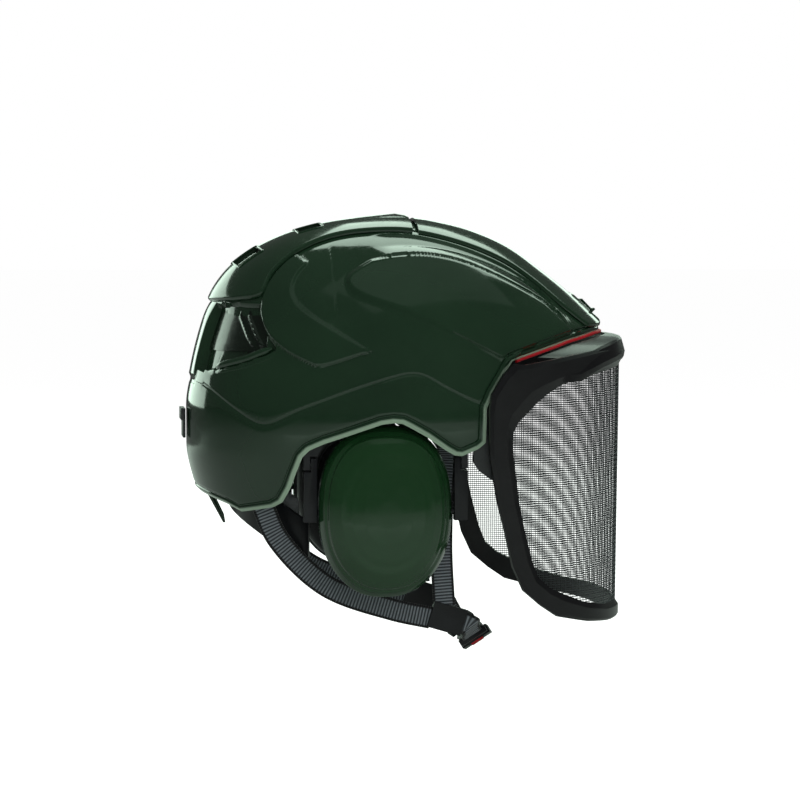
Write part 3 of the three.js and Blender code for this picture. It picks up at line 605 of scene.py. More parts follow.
# Painted shade: a darker green for the sunk recess floor, standing in for the shade inside the recess.
recess_shade_green = glossy_plastic("recess_shade_green", rgb(10, 22, 13), rgb(14, 28, 18), 0.2)
cup_green = glossy_plastic("cup_green", rgb(24, 58, 30), rgb(30, 64, 36), 0.14)
charcoal = moulded_plastic("charcoal_plastic", rgb(44, 45, 48), rgb(56, 57, 60), 0.36)
frame_black = moulded_plastic("frame_black", rgb(19, 19, 21), rgb(27, 27, 29), 0.34)
black = moulded_plastic("black_plastic", rgb(18, 19, 22), rgb(28, 29, 33), 0.38)
liner_foam = foam("liner_foam", rgb(20, 21, 23), rgb(40, 41, 44))
felt_grey = felt("felt_grey", rgb(62, 62, 66), rgb(118, 118, 122))
cushion_skin = leatherette("cushion_skin", rgb(15, 15, 17), rgb(27, 27, 30))
strap_cloth = woven_strap("webbing")
red_rubber = moulded_plastic("red_rubber", rgb(186, 22, 34), rgb(204, 36, 46), 0.5, 500)
steel = metal("steel", rgb(176, 180, 184))
wire = metal("wire", rgb(124, 126, 128), 0.5)


# -------- outer shell
def brim_height(x):
    """Height of the brim's lower edge at a distance forward."""
    xs, zs = np.array(BRIM_EDGE, float).T
    return np.interp(x, xs, zs)


def brim_line(angles, offset=0.0):
    """The brim's lower edge at some angles."""
    z = np.full(np.shape(angles), 77.0)
    for _ in range(5):
        z = brim_height(dome(angles, z)[..., 0])
    p = dome(angles, z, offset)
    p[..., 2] = z
    return p


def rim_points():
    """The left half of the shell's lower edge as (angle, z), from the brim's middle to the back."""
    corner = float(edge_angle(*BRIM_EDGE[0]))
    brim = np.linspace(0, corner, 160)
    front = np.stack([brim, brim_line(brim)[:, 2]], -1)
    side = along_line(SIDE_EDGE, 900)
    side = np.stack([edge_angle(side[:, 0], side[:, 1]), side[:, 1]], -1)
    back = np.stack([np.linspace(side[-1, 0], np.pi, 30), np.full(30, side[-1, 1])], -1)
    return np.concatenate([front, side[1:], back[1:]])


RIM = rim_points()
RIM_3D = dome(RIM[:, 0], RIM[:, 1])
RIM_RUN = run_along(RIM_3D)


def rim_run_at(x, z):
    """How far along the rim the outline's corner (x, z) is."""
    gap = np.hypot(RIM_3D[:, 0] - x, RIM_3D[:, 2] - z)
    return float(RIM_RUN[gap.argmin()])


# Where the columns of the shell's mesh that start at these corners of the rim meet the crown: (x, z, angle).
CROWN_ANGLES = [(75, 58, 1.10), (57, 5, 1.5), (36, -2.8, 1.62), (-5, 19, 1.75), (-59, 1.2, 2.0),
                (-81, -37.5, 2.35), (-110, -37.5, 2.75)]
SHELL_COLUMNS = 380      # on each side
EDGE_ROWS = [0, 0.7, 1.5, 2.4, 3.3, 4.2, 5.2, 6.3, 7.6]
SIDE_ROWS = 92
CROWN_ROWS = 9
CROWN_START = 0.76       # share of the way up where the crown's rows begin
CROWN_SPAN = 0.238       # the rows stop just short of the top, which one face closes


def shell_grid():
    """Angle and height of each mesh point of the shell's left half, row by row from the rim up."""
    run = np.linspace(0, RIM_RUN[-1], SHELL_COLUMNS)
    start_angle = np.interp(run, RIM_RUN, RIM[:, 0])
    start_z = np.interp(run, RIM_RUN, RIM[:, 1])
    crown = smooth_through([(0, 0)] + [(rim_run_at(x, z), a) for x, z, a in CROWN_ANGLES]
                           + [(RIM_RUN[-1], np.pi)])(run)
    rate = (DOME_TOP - start_z) * np.pi / 2
    edge = np.array(EDGE_ROWS)[:, None] / rate
    share = np.linspace(0, 1, SIDE_ROWS + 1)[1:, None]
    side = edge[-1] + (CROWN_START - edge[-1]) * share
    top = CROWN_START + CROWN_SPAN * np.linspace(0, 1, CROWN_ROWS + 1)[1:, None] * np.ones_like(rate)
    s = np.concatenate([edge, side, top])
    angle = start_angle + (crown - start_angle) * (1 - (1 - s) ** 3)
    z = start_z + (DOME_TOP - start_z) * np.sin(s * np.pi / 2)
    return angle, z


# Lines on the shell's side, as side outlines [x, z].
WING_LINE = [(-124, 42), (-105, 26.6), (-92, 18.6), (-85, 18), (-65, 27), (-33, 39), (-3, 48.6), (6, 50.4),
             (14.5, 49.5), (30, 41), (47, 32.5), (62, 27)]
BAND_OUTER = [(-62, 128), (-69, 123.3), (-79, 113), (-86, 101), (-88, 89), (-84, 76), (-71, 64),
              (-59, 57.4), (-54, 55)]
BAND_LOWER = [(-54, 55), (-45, 56.5), (-21, 64), (-18, 65.4)]
BAND_INNER = [(-18, 65.4), (-27, 70.5), (-39, 78), (-53, 87), (-62, 94.5), (-66, 101), (-66, 107),
              (-62, 115), (-55, 122)]
PANEL_LOWER = [(-1.8, 92.3), (7.7, 88.6), (20.6, 83.3), (30.8, 78.1), (46.4, 69.9), (63, 61.2), (74, 55.5)]
LEDGE_LOWER = [(-40, 87), (-26, 86.3), (4.2, 86), (12.8, 84.6), (31, 76), (52.6, 65.2), (66, 57.8), (76, 52)]
BRIM_LINE = [(36, 76.7), (66, 61.2), (69.5, 60.8), (82, 64.8), (100, 70), (117, 75), (134, 79)]
SHOULDER_UPPER = [(-14, 133), (7, 135), (27, 134), (47, 130), (68, 123), (88, 114), (105, 102), (114, 91),
                  (124, 77)]
SHOULDER_LOWER = [(-14, 124), (5, 127), (26, 127), (46, 123), (66, 115), (86, 105), (103, 95), (113, 85),
                  (123, 75)]
PANEL_END = [(-14, 124), (-23, 119), (-30, 114), (-31.6, 109), (-29, 104), (-20, 99), (-6, 94)]


def shell_fields(points):
    """Distances in millimetres from shell points to the lines on its side; inside a region is positive."""
    side = points * np.array([1, 0, 1]) + np.abs(points) * np.array([0, 1, 0])
    flat = side[:, [0, 2]]

    def signed(region, line):
        return np.where(inside(flat, region), 1, -1) * distance_to(side, on_dome(line))

    outer_line, inner_line, upper_line, lower_line = (
        smooth_route(line, 60).tolist() for line in (BAND_OUTER, BAND_INNER, SHOULDER_UPPER, SHOULDER_LOWER))
    wing_line = smooth_route(WING_LINE, 90).tolist()
    band_in = inside(flat, outer_line + BAND_LOWER[1:] + inner_line[1:])
    outer = distance_to(side, on_dome(outer_line + BAND_LOWER[1:]))
    inner = distance_to(side, on_dome(inner_line))
    panel_edge = lower_line[::-1] + smooth_route(PANEL_END, 40).tolist()[1:] + PANEL_LOWER
    panel_region = panel_edge + [p for p in BRIM_LINE if p[0] > 75]
    return dict(side=side, flat=flat, inner=inner, band_in=band_in, outer=outer,
                wing=signed(wing_line + [(90, 20), (90, -90), (-170, -90), (-170, 44)], wing_line),
                band=np.where(band_in, 1, -1) * np.minimum(outer, inner),
                lower=signed(LEDGE_LOWER + [(160, 60), (160, 170), (-40, 170)], LEDGE_LOWER),
                panel=signed(panel_region, panel_edge),
                above_shoulder=signed(upper_line + [(160, 77), (160, 170), (-14, 170)], upper_line),
                above_facet=signed(lower_line + [(160, 75), (160, 170), (-14, 170)], lower_line),
                crest=distance_to(side, on_dome(smooth_route(CREST_EDGE, 90))),
                rim=distance_to(side, RIM_3D), brim=distance_to(side, on_dome(BRIM_LINE)))


# Reliefs of the shell's side above or below the plain dome.
PANEL_HEIGHT = 1.9
GUTTER_DEPTH = 1.3
RIM_BEVEL = 3.4
RIM_GROOVE = 5.0         # distance from the rim
BAND_HEIGHT = 1.5
HOLLOW_DEPTH = 2.6
HOLLOW_WIDTH = 13
RECESS_FLOOR = 6.5
TIER_HEIGHT = 1.8


def shell_relief(field):
    """Height of the shell's relief above the plain dome, in millimetres."""
    x, z = field["flat"].T
    y = field["side"][:, 1]
    height = -1.6 * smoothstep((RIM_BEVEL - field["rim"]) / RIM_BEVEL) ** 1.5
    height = height - 0.35 * bell(field["rim"] - RIM_GROOVE, 1.0)
    # The skirt below the wing line stands a little proud.
    height = height + 0.45 * (smoothstep((field["wing"] + 2.5) / 5) - 1)
    height = height - 0.5 * bell(field["wing"], 1.7)
    height = height + BAND_HEIGHT * np.where(field["band_in"], smoothstep((field["band"] + 0.4) / 2.2), 0)
    # The hollow between the swept band and the side panel.
    hollow = np.where(field["band_in"] | (x < -66), 0, bell(field["inner"], HOLLOW_WIDTH))
    hollow = hollow * smoothstep((z - 60) / 14)
    hollow = hollow * smoothstep((field["lower"] + 8) / 18) * smoothstep(-field["panel"] / 4)
    height = height - HOLLOW_DEPTH * hollow
    # The side panel stands proud, and a facet that faces up joins it to the gutter beside the crest.
    height = height + PANEL_HEIGHT * smoothstep((field["panel"] + 2.2) / 4.4)
    over = (field["above_facet"] > 0) & (x > -14)
    down = np.maximum(-field["above_shoulder"], 0)
    share = down / np.maximum(down + field["above_facet"], 1e-6)
    facet = np.where(over, share * (PANEL_HEIGHT + GUTTER_DEPTH) - GUTTER_DEPTH, 0)
    fade = smoothstep((x + 14) / 16) * smoothstep((121 - x) / 14)
    height = np.where(over, facet * fade + height * (1 - fade), height)
    gutter = np.where(field["above_shoulder"] > 0, smoothstep((6 - field["crest"]) / 4) * GUTTER_DEPTH, 0)
    height = height + gutter * fade
    height = height - 0.5 * bell(field["brim"], 1.2)
    sunk = smoothstep(recess_depth(field["side"]) / 2.5)
    height = height * (1 - sunk) - RECESS_FLOOR * sunk
    # The raised tier on the spine between the two recesses.
    tier = smoothstep((-112 - x) / 8) * smoothstep((26 - y) / 6)
    return height + TIER_HEIGHT * tier * smoothstep((z - 44) / 3) * smoothstep((98 - z) / 3)


def recess_depth(side):
    """How far inside the recess a point is, in millimetres; negative outside."""
    flat = side[:, [0, 2]]
    edge = [p for p in RECESS if p[0] > -140]
    gap = distance_to(side, on_dome([(-112, 96), (-104, 96)] + edge + [(-121, 51.5)]))
    gap = np.minimum(gap, np.abs(side[:, 1] - SPINE_HALF_WIDTH))
    within = inside(flat, RECESS) & (side[:, 1] > SPINE_HALF_WIDTH)
    return np.where(within, gap, -gap)


def both_sides(grid):
    """A left half grid, front to back, carried on round the right side back to the front."""
    return np.concatenate([grid, grid[:, -2:0:-1] * MIRROR], axis=1)


FAR_FROM_LINES = 30.0


def outer_shell():
    """The shell's body, and at each point the distances that its material draws lines from."""
    angle, z = shell_grid()
    base = dome(angle, z)
    field = shell_fields(base.reshape(-1, 3))
    height = shell_relief(field).reshape(angle.shape)
    outer = both_sides(dome(angle, z, height))
    # The inner wall follows these rows of the outer one.
    pick = [0, 4, 8, 14, 22, 32, 44, 56, 68, 80, 90, len(angle) - 1]
    depth = np.minimum(height[pick] - 2.2, -SHELL_WALL)
    depth[0] = -SHELL_WALL
    inner = both_sides(dome(angle[pick], z[pick], depth))
    rows, columns = outer.shape[:2]
    points = np.concatenate([outer.reshape(-1, 3), inner.reshape(-1, 3)])
    start = rows * columns
    faces = grid_faces(rows, columns, wrap=True)
    faces += [f[::-1] for f in grid_faces(len(pick), columns, wrap=True, start=start)]
    faces += [[(i + 1) % columns, i, start + i, start + (i + 1) % columns] for i in range(columns)]
    faces.append(list(range((rows - 1) * columns, rows * columns)))
    faces.append(list(range(start + (len(pick) - 1) * columns, start + len(pick) * columns))[::-1])
    # The painted rim highlight narrows along the brim.
    rim_distance = field["rim"] * (1 + 1.6 * smoothstep((field["flat"][:, 0] - 68) / 8))
    lines = dict(rim_groove=field["rim"] - RIM_GROOVE, wing_line=field["wing"], band_line=field["outer"],
                 ledge_line=field["brim"], panel_line=field["panel"], rim_distance=rim_distance)
    inner_wall = np.full(len(pick) * columns, FAR_FROM_LINES)

    def all_round(value):
        half = value.reshape(angle.shape)
        return np.concatenate([np.concatenate([half, half[:, -2:0:-1]], axis=1).ravel(), inner_wall])

    return (points, faces), {key: all_round(value) for key, value in lines.items()}


shell_body, shell_attributes = outer_shell()
shell = make("outer_shell_skin", shell_body, "helmet", shell_green, "outer_shell", "shell_green",
             sharp=60, attributes=shell_attributes)


BOX_FACES = [[0, 1, 3, 2], [4, 6, 7, 5], [0, 4, 5, 1], [2, 3, 7, 6], [0, 2, 6, 4], [1, 5, 7, 3]]
CUTTER_REACH = 30


def at_vent(vent, along, across, up):
    """Points given in a vent's own tilted directions, moved to where the vent is."""
    c, s = math.cos(vent["tilt"]), math.sin(vent["tilt"])
    return np.stack([along * c - up * s + vent["x"], across, along * s + up * c + vent["z"]], -1)


def vent_cutter(grow):
    """Box cutters of the four vents."""
    bodies = []
    for vent in VENTS:
        half = vent["length"] / 2 + grow
        corners = np.array([(x, y, z) for x in (-half, half)
                            for y in (VENT_GAP - grow, vent["half_width"] + grow)
                            for z in (-CUTTER_REACH, CUTTER_REACH)], float)
        box = at_vent(vent, *corners.T), BOX_FACES
        bodies += [box, mirrored(box)]
    return merge(*bodies)


def cut_vents(obj, grow):
    """Cuts the vents through a piece, wider than their nominal size by grow."""
    points, faces = vent_cutter(grow)
    mesh = bpy.data.meshes.new("vent_cutter")
    mesh.from_pydata((points * MM).tolist(), [], faces)
    turn_faces_out(mesh)
    cutter = add_object("vent_cutter", mesh)
    modifier = obj.modifiers.new("vents", "BOOLEAN")
    modifier.operation = "DIFFERENCE"
    modifier.object = cutter
    modifier.solver = "EXACT"
    apply_modifiers(obj)
    bpy.data.objects.remove(cutter)


def apply_modifiers(obj):
    bpy.context.view_layer.update()
    graph = bpy.context.evaluated_depsgraph_get()
    result = bpy.data.meshes.new_from_object(obj.evaluated_get(graph), preserve_all_data_layers=True,
                                             depsgraph=graph)
    obj.modifiers.clear()
    obj.data = result


cut_vents(shell, 1.0)
smooth(shell.data, 60)

# -------- crest
CREST_CENTRE = np.array([10.0, 0, 20.0])
CREST_RISE_FRONT, CREST_RISE_REAR = 2.2, 3.0


def crest_outline():
    """The crest's edge on the left side, from the front middle to the rear middle."""
    side = on_dome(smooth_route(CREST_EDGE, 90), step=2)
    front_angle = np.linspace(0, float(dome_angle(*side[0])), 24)[:-1]
    rear_angle = np.linspace(float(dome_angle(*side[-1])), np.pi, 16)[1:]
    front = dome(front_angle, np.full(23, float(side[0, 2])))
    rear = dome(rear_angle, np.linspace(side[-1, 2], CREST_REAR_Z, 15))
    return np.concatenate([front, side, rear])


def crest_grid(outline, stations, across, thickness):
    """Rows over the top between the left and the right edge, each an arc in a plane through the centre."""
    edge = along_line(outline, stations)
    middle = edge * np.array([1, 0, 1]) - CREST_CENTRE
    spread = np.arctan2(edge[:, 1], np.linalg.norm(middle, axis=1))
    share = np.sin(np.linspace(-np.pi / 2, np.pi / 2, across))
    turn = spread[:, None] * share[None]
    direction = (unit(middle)[:, None] * np.cos(turn)[..., None]
                 + np.array([0, 1.0, 0]) * np.sin(turn)[..., None])
    skin = rays_to_dome(CREST_CENTRE, direction)
    return dome_angle(*np.moveaxis(skin, -1, 0)), skin[..., 2], thickness(skin)


def crest_piece(name, front, node):
    """One half of the crest, before or behind the joint."""
    outline = crest_outline()
    split = CREST_JOINT_X + (GAP / 2 if front else -GAP / 2)
    keep = outline[:, 0] > split if front else outline[:, 0] < split
    outline = outline[keep]

    def height(skin):
        flat = skin.reshape(-1, 3)
        sides = distance_to(np.abs(flat) * [0, 1, 0] + flat * [1, 0, 1], crest_outline())
        rise = (CREST_RISE_FRONT if front else CREST_RISE_REAR) * round_over(sides / 2.0)
        joint = np.abs(flat[:, 0] - split)
        rise = rise * (0.45 + 0.55 * round_over(joint / 1.6))
        if front:
            block = smoothstep((flat[:, 0] - 128) / 2.5) * smoothstep((20 - np.abs(flat[:, 1])) / 2)
            rise = rise + 1.2 * block * np.clip(sides / 3, 0, 1)
        else:
            crown = smoothstep((flat[:, 0] - split + 42) / 30) * smoothstep((16 - np.abs(flat[:, 1])) / 3)
            rise = rise + 0.5 * crown * np.clip(joint / 3, 0, 1)
        return np.maximum(rise, GAP + 0.05).reshape(skin.shape[:2])

    angle, z, rise = crest_grid(outline, 210, 81, height)
    top = dome(angle, z, rise)
    bottom = dome(angle, z, np.full(angle.shape, GAP * 0.5))
    return make(name, slab(top, bottom), "helmet", trim_green, node, "shell_green", sharp=50)


crest_piece("crest_front_skin", True, "crest_front")
crest_rear = crest_piece("crest_rear_skin", False, "crest_rear")
cut_vents(crest_rear, 0.0)
smooth(crest_rear.data, 50)


def bar_on_dome(outline, radius):
    """A rounded moulded rib that follows a 3-D line lying on the shell."""
    route = along_line(outline, max(12, int(len(outline) * 1.5)))
    ends = np.minimum(np.linspace(0, 1, len(route)), np.linspace(1, 0, len(route))) * len(route) / 4
    body = tube(route, radius * np.clip(ends, 0.12, 1) ** 0.5, 10)
    return merge(body, mirrored(body))


LIP_OUTSET, LIP_RADIUS = 0.4, 0.75


def vent_frames():
    """A narrow raised lip round each vent."""
    bodies = []
    for vent in VENTS:
        half, wide = vent["length"] / 2 + LIP_OUTSET, vent["half_width"] + LIP_OUTSET
        corners = [(-half, VENT_GAP), (half, VENT_GAP), (half, wide), (-half, wide), (-half, VENT_GAP)]
        along, across = along_line(corners, 60).T
        direction = unit(at_vent(vent, along, across, 0.0) - CREST_CENTRE)
        skin = rays_to_dome(CREST_CENTRE, direction)
        lip = tube(dome(dome_angle(*skin.T), skin[:, 2], CREST_RISE_REAR), LIP_RADIUS)
        bodies += [lip, mirrored(lip)]
    return merge(*bodies)


make("vent_lips", vent_frames(), "helmet", trim_green, (), "shell_green")


# -------- brim seal
def brim_seal():
    """The soft strip under the brim."""
    angles = np.linspace(-1.1, 1.1, 140)
    profile = [(-0.1, -0.4), (0.25, -0.8), (0.25, -1.8), (-0.2, -2.2), (-2.6, -2.2), (-2.6, -0.4)]
    rings = []
    for out, drop in profile:
        p = brim_line(np.abs(angles), out)
        p[:, 1] *= np.sign(angles)
        p[:, 2] += drop
        rings.append(p)
    return loft(np.stack(rings, 1))


make("brim_seal_strip", brim_seal(), "helmet", red_rubber, "brim_seal", "red_seal")


# -------- recess where a folded ear cup parks
def recess_insert():
    """The sunk floor with two curved ribs."""
    front_edge = on_dome([(-86, 95.2), (-88, 89), (-84, 76), (-79, 67)], -5, 1)
    rows = []
    for x, _, z in along_line(front_edge, 60):
        start = float(edge_angle(x, z))
        stop = float(np.pi - ((SPINE_HALF_WIDTH + 0.8) / half_width_at(z)) ** (dome_power(z) / 2))
        rows.append([(start + (stop - start) * t, z) for t in np.linspace(0, 1, 60)])
    grid = np.array(rows)
    angle, z = grid[..., 0], grid[..., 1]
    base = dome(angle, z)
    flat = base.reshape(-1, 3)
    height = np.full(len(flat), -5.4)
    for shift, tall in ((9, 1.6), (15, 1.2)):
        rib = on_dome([(x - shift, z) for x, z in [(-86, 96), (-88, 89), (-84, 76), (-81, 70)]])
        height += tall * bell(distance_to(flat, rib), 1.1)
    return slab(dome(angle, z, height.reshape(angle.shape)), dome(angle, z, -6.4))


# The recess floor's darker green is painted shade for the sunk recess.
make_pair("recess_floor", recess_insert(), "helmet", recess_shade_green, "recess_plate", slot="shell_green")
LEDGE_BAR = [(-117, 54.5), (-98, 60.5), (-82, 67.5)]
LEDGE_BAR_LOW = [(-117, 50), (-98, 55), (-77, 63.5)]
make("recess_ledges", merge(bar_on_dome(on_dome(LEDGE_BAR, -2.0), 2.6),
                            bar_on_dome(on_dome(LEDGE_BAR_LOW, -2.6), 2.4)),
     "helmet", trim_green, (), "shell_green")


# -------- visor
def visor_lean(z):
    """How far forward the sheet leans at a height."""
    return VISOR["lean"] * (z - VISOR["lean_from"]) / VISOR["lean_over"]


def visor(angle, z, offset=0.0):
    """The middle of the visor's sheet, moved out by offset."""
    angle, z, offset = np.broadcast_arrays(*(np.asarray(v, float) for v in (angle, z, offset)))
    lean = visor_lean(z)
    x, y = oval(angle, VISOR["front"] + offset + lean, VISOR["rear"],
                VISOR["half_width"] + offset + lean / 2, VISOR["middle"], VISOR["power"])
    return np.stack([x, y, z], -1)


def visor_angle(x, z):
    """Angle at which the sheet, at height z, passes x on the left side."""
    reach = VISOR["front"] + visor_lean(z) - VISOR["middle"]
    share = np.clip((x - VISOR["middle"]) / reach, 0, 1)
    return np.arccos(share ** (VISOR["power"] / 2))


# Stations of the frame round one half of the visor, each an outer and an inner [x, z], from the top middle
# down the side to the bottom middle.
FRAME_STATIONS = [((170, 70), (170, 55)), ((141, 66), (142, 50.5)), ((117, 62), (118, 45.5)),
                  ((100, 59), (106, 42)), ((82, 56), (97, 36.5)), ((74, 56.5), (90, 31)),
                  ((67.5, 50), (83.5, 24.5)), ((59.5, 37), (77, 18)), ((58.2, 27), (74.2, 12)),
                  ((58.3, 10), (73.6, 7)), ((58.5, -4), (74.3, -4)), ((63.5, -33), (78.2, -34)),
                  ((68.5, -52), (81.4, -50)), ((74, -76), (87, -72)), ((81.5, -92), (91.5, -83.5)),
                  ((94, -102.5), (100, -91)), ((106, -110.5), (110, -95.8)), ((127, -115.5), (125, -102.2)),
                  ((145, -118), (143, -106.5)), ((170, -120), (170, -107.5))]


def frame_ring():
    """The frame's section runs between the outer and the inner edge, with chamfers on both."""
    section = [(0.0, -2.5), (0.0, 0.9), (0.13, 2.5), (0.7, 2.5), (1.0, 0.2), (1.0, -2.5)]
    stations = []
    for (a, b), (c, d) in zip(FRAME_STATIONS, FRAME_STATIONS[1:]):
        for t in np.linspace(0, 1, 7)[:-1]:
            stations.append((np.array(a) * (1 - t) + np.array(c) * t,
                             np.array(b) * (1 - t) + np.array(d) * t))
    stations.append(tuple(np.array(p, float) for p in FRAME_STATIONS[-1]))
    rings = []
    for outer, inner in stations:
        outer_angle, inner_angle = float(visor_angle(*outer)), float(visor_angle(*inner))
        ring = []
        for share, offset in section:
            angle = outer_angle + (inner_angle - outer_angle) * share
            z = outer[1] + (inner[1] - outer[1]) * share
            ring.append(visor(angle, z, offset))
        rings.append(ring)
    left = np.array(rings)
    return loft(np.concatenate([left, left[-2:0:-1] * MIRROR]), looped=True)


def top_rail():
    """The rail along the brim: from the brim's edge out over the visor's sheet and down in front of it."""
    clearance = GAP + SEAL_HEIGHT + 0.8
    rings = []
    for angle in np.linspace(-1.12, 1.12, 121):
        side = np.array([1, np.sign(angle) or 1, 1])
        edge = brim_line(np.array(min(1.0, abs(angle))), 3.0) * side
        edge[2] -= clearance

        def rail(z, offset):
            return visor(abs(angle), z, offset) * side

        proud = 1.5 * float(smoothstep((1.1 - abs(angle)) / 0.3))
        nose = rail(edge[2] - 0.5, -1)
        brow = rail(edge[2] - 2.6, 0.1 + proud)
        rings.append([edge, edge * 0.15 + nose * 0.85, (nose + brow) / 2 + [0, 0, 0.4], brow,
                      rail(edge[2] - 11, 2.5 + proud), rail(edge[2] - 14.5, 2.5 + 0.6 * proud),
                      rail(edge[2] - 16, 2.5), rail(edge[2] - 16, -2.5), edge - [0, 0, 4]])
    return loft(rings)


make("visor_frame_bars", merge(frame_ring(), top_rail()), "visor", frame_black, "visor_frame",
     "charcoal_plastic", sharp=16)

MESH_PITCH = 1.5
WIRE_RADIUS = dict(upright=0.17, level=0.29)
WIRE_WEAVE = 0.16        # how far wires pass over and under the middle of the sheet
FRAME_OVERLAP = 2.0


def opening_height(x):
    """Lower and upper edge of the frame's opening at a distance forward."""
    upper = np.array([p for p in FRAME_OPENING if p[1] >= 8][::-1], float)
    lower = np.array([p for p in FRAME_OPENING if p[1] <= 8], float)
    return np.interp(x, lower[:, 0], lower[:, 1]), np.interp(x, upper[:, 0], upper[:, 1])


def opening_side(z):
    """How far back the opening reaches at a height."""
    edge = np.array(sorted(FRAME_OPENING, key=lambda p: p[1]), float)
    return np.interp(z, edge[:, 1], edge[:, 0])


def wire_body(rows, radius):
    """Square wires along the rows of a (wires, steps, 3) array."""
    rows = np.asarray(rows)
    along = unit(np.gradient(rows, axis=1))
    outward = unit(rows * np.array([1, 1, 0]) - np.array([VISOR["middle"], 0, 0]))
    across = unit(np.cross(along, outward))
    outward = np.cross(across, along)
    ring = np.stack([across, outward, -across, -outward], 2) * radius
    points = rows[:, :, None] + ring
    wires, steps = rows.shape[:2]
    block = np.array(grid_faces(steps, 4, wrap=True))
    faces = (np.arange(wires)[:, None, None] * steps * 4 + block[None]).reshape(-1, 4).tolist()
    return points.reshape(-1, 3), faces


def visor_mesh():
    """Woven wires, alternately over and under each other."""
    widest = float(visor_angle(72, -10))
    sweep_angles = np.linspace(-widest, widest, 800)
    run = run_along(visor(sweep_angles, np.zeros(800)))
    even = np.linspace(0, run[-1], int(run[-1] / MESH_PITCH))
    uprights = []
    for i, angle in enumerate(np.interp(even, run, sweep_angles)):
        x = float(visor(angle, 0)[0])
        low, high = opening_height(x)
        if high - low < 4:
            continue
        z = np.linspace(low - FRAME_OVERLAP, high + FRAME_OVERLAP, 14)
        uprights.append(visor(np.full(14, angle), z, WIRE_WEAVE if i % 2 else -WIRE_WEAVE))
    levels = []
    for j, z in enumerate(np.arange(-113, 56, MESH_PITCH)):
        back = opening_side(z) - FRAME_OVERLAP
        side = float(visor_angle(back, z))
        turn = np.linspace(-side, side, 56)
        levels.append(visor(turn, np.full(56, z), WIRE_WEAVE if j % 2 else -WIRE_WEAVE))
    return merge(wire_body(uprights, WIRE_RADIUS["upright"]), wire_body(levels, WIRE_RADIUS["level"]))


make("visor_mesh_wires", visor_mesh(), "visor", wire, "visor_mesh", "wire_mesh", sharp=60)


# -------- ear cups
def ear_oval(angle, scale, y, grow=0.0):
    """The cup's oval, fuller at the top than at the bottom."""
    c, s = np.cos(angle), np.sin(angle)
    taper = np.where(s < 0, 1 - 0.12 * s**2, 1)
    x = np.sign(c) * np.abs(c) ** 0.8 * (EAR["half_length"] * scale + grow) * taper
    z = np.sign(s) * np.abs(s) ** 0.84 * (EAR["half_height"] * scale + grow)
    x, y, z = np.broadcast_arrays(EAR["x"] + x, y, EAR["z"] + z)
    return np.stack([x, y, z], -1)


# Depth of the cup, as a share, against its size, as a share of the full oval.
CUP_PROFILE = [(0, 1.0), (0.30, 1.0), (0.38, 0.98), (0.50, 0.945), (0.63, 0.89), (0.75, 0.81), (0.86, 0.70),
               (0.94, 0.55), (0.985, 0.36), (1.0, 0.18), (1.0, 0.0)]


def cup_relief(p):
    """A shallow oval face with a soft level fold across its middle."""
    u, v = p[..., 0] - EAR["x"], p[..., 2] - EAR["z"]
    reach = np.hypot(u / EAR["half_length"], v / EAR["half_height"])
    face = smoothstep((0.7 - reach) / 0.1)
    return -0.7 * face * smoothstep(np.abs(v + 6) / 34)


CUP_RINGS = 64
GROOVE_RING = 17


def ear_cup():
    """The hollow cup: its outside with a groove round it, and its inside."""
    depth = EAR["face"] - EAR["rim"]
    size = [depth, 50]
    angles = np.linspace(0, 2 * np.pi, 160, endpoint=False)
    rings = []
    for share, scale in along_line(np.array(CUP_PROFILE) * size, CUP_RINGS) / size:
        ring = ear_oval(angles, max(scale, 0.01), EAR["rim"] + depth * share)
        ring[:, 1] += cup_relief(ring) * smoothstep((share - 0.6) / 0.3)
        rings.append(ring)
    outer = np.array(rings)
    groove = 0.9 * bell(np.arange(CUP_RINGS) - GROOVE_RING, 1.4)
    outer[:, :, 0] -= groove[:, None] * np.cos(angles)[None]
    outer[:, :, 2] -= groove[:, None] * np.sin(angles)[None]
    inner_scale = [1, 0.98, 0.9, 0.78, 0.55]
    inner_share = [0, 0.35, 0.62, 0.82, 0.9]
    inner = np.array([ear_oval(angles, s, EAR["rim"] + depth * t, -EAR["wall"])
                      for s, t in zip(inner_scale, inner_share)])
    return loft(np.concatenate([inner[::-1], outer]))


make_pair("ear_cup_shell", ear_cup(), "cup", cup_green, "ear_cup", slot="shell_green", sharp=50)


# -------- webbing
STRAP_SECTION = [(-1, 0), (-0.97, 0.7), (-0.8, 1), (-0.4, 1), (0, 1), (0.4, 1), (0.8, 1), (0.97, 0.7),
                 (1, 0), (0.97, -0.7), (0.8, -1), (0.4, -1), (0, -1), (-0.4, -1), (-0.8, -1), (-0.97, -0.7)]
CRADLE_SECTION = [(-1, 0), (-0.9, 1), (0, 1), (0.9, 1), (1, 0), (0.9, -1), (0, -1), (-0.9, -1)]


def strap(route, out, steps, start_out=None):
    """A woven strap and its lengthwise and crosswise distances; its face turns from start_out to out."""
    centre = smooth_route(route, steps)
    along = unit(np.gradient(centre, axis=0))
    run = run_along(centre)
    turned = smoothstep(run / STRAP_TWIST_LENGTH)[:, None]
    face = np.outer(1 - turned, out if start_out is None else start_out) + np.outer(turned, out)
    across = unit(np.cross(face, along))
    normal = np.cross(along, across)
    half = STRAP_WIDTH / 2
    rings = sweep(centre, across, normal, STRAP_SECTION, half, STRAP_THICKNESS / 2)
    return loft(rings), dict(along=np.repeat(run, len(STRAP_SECTION)),
                             across=np.tile([half * a for a, _ in STRAP_SECTION], steps))


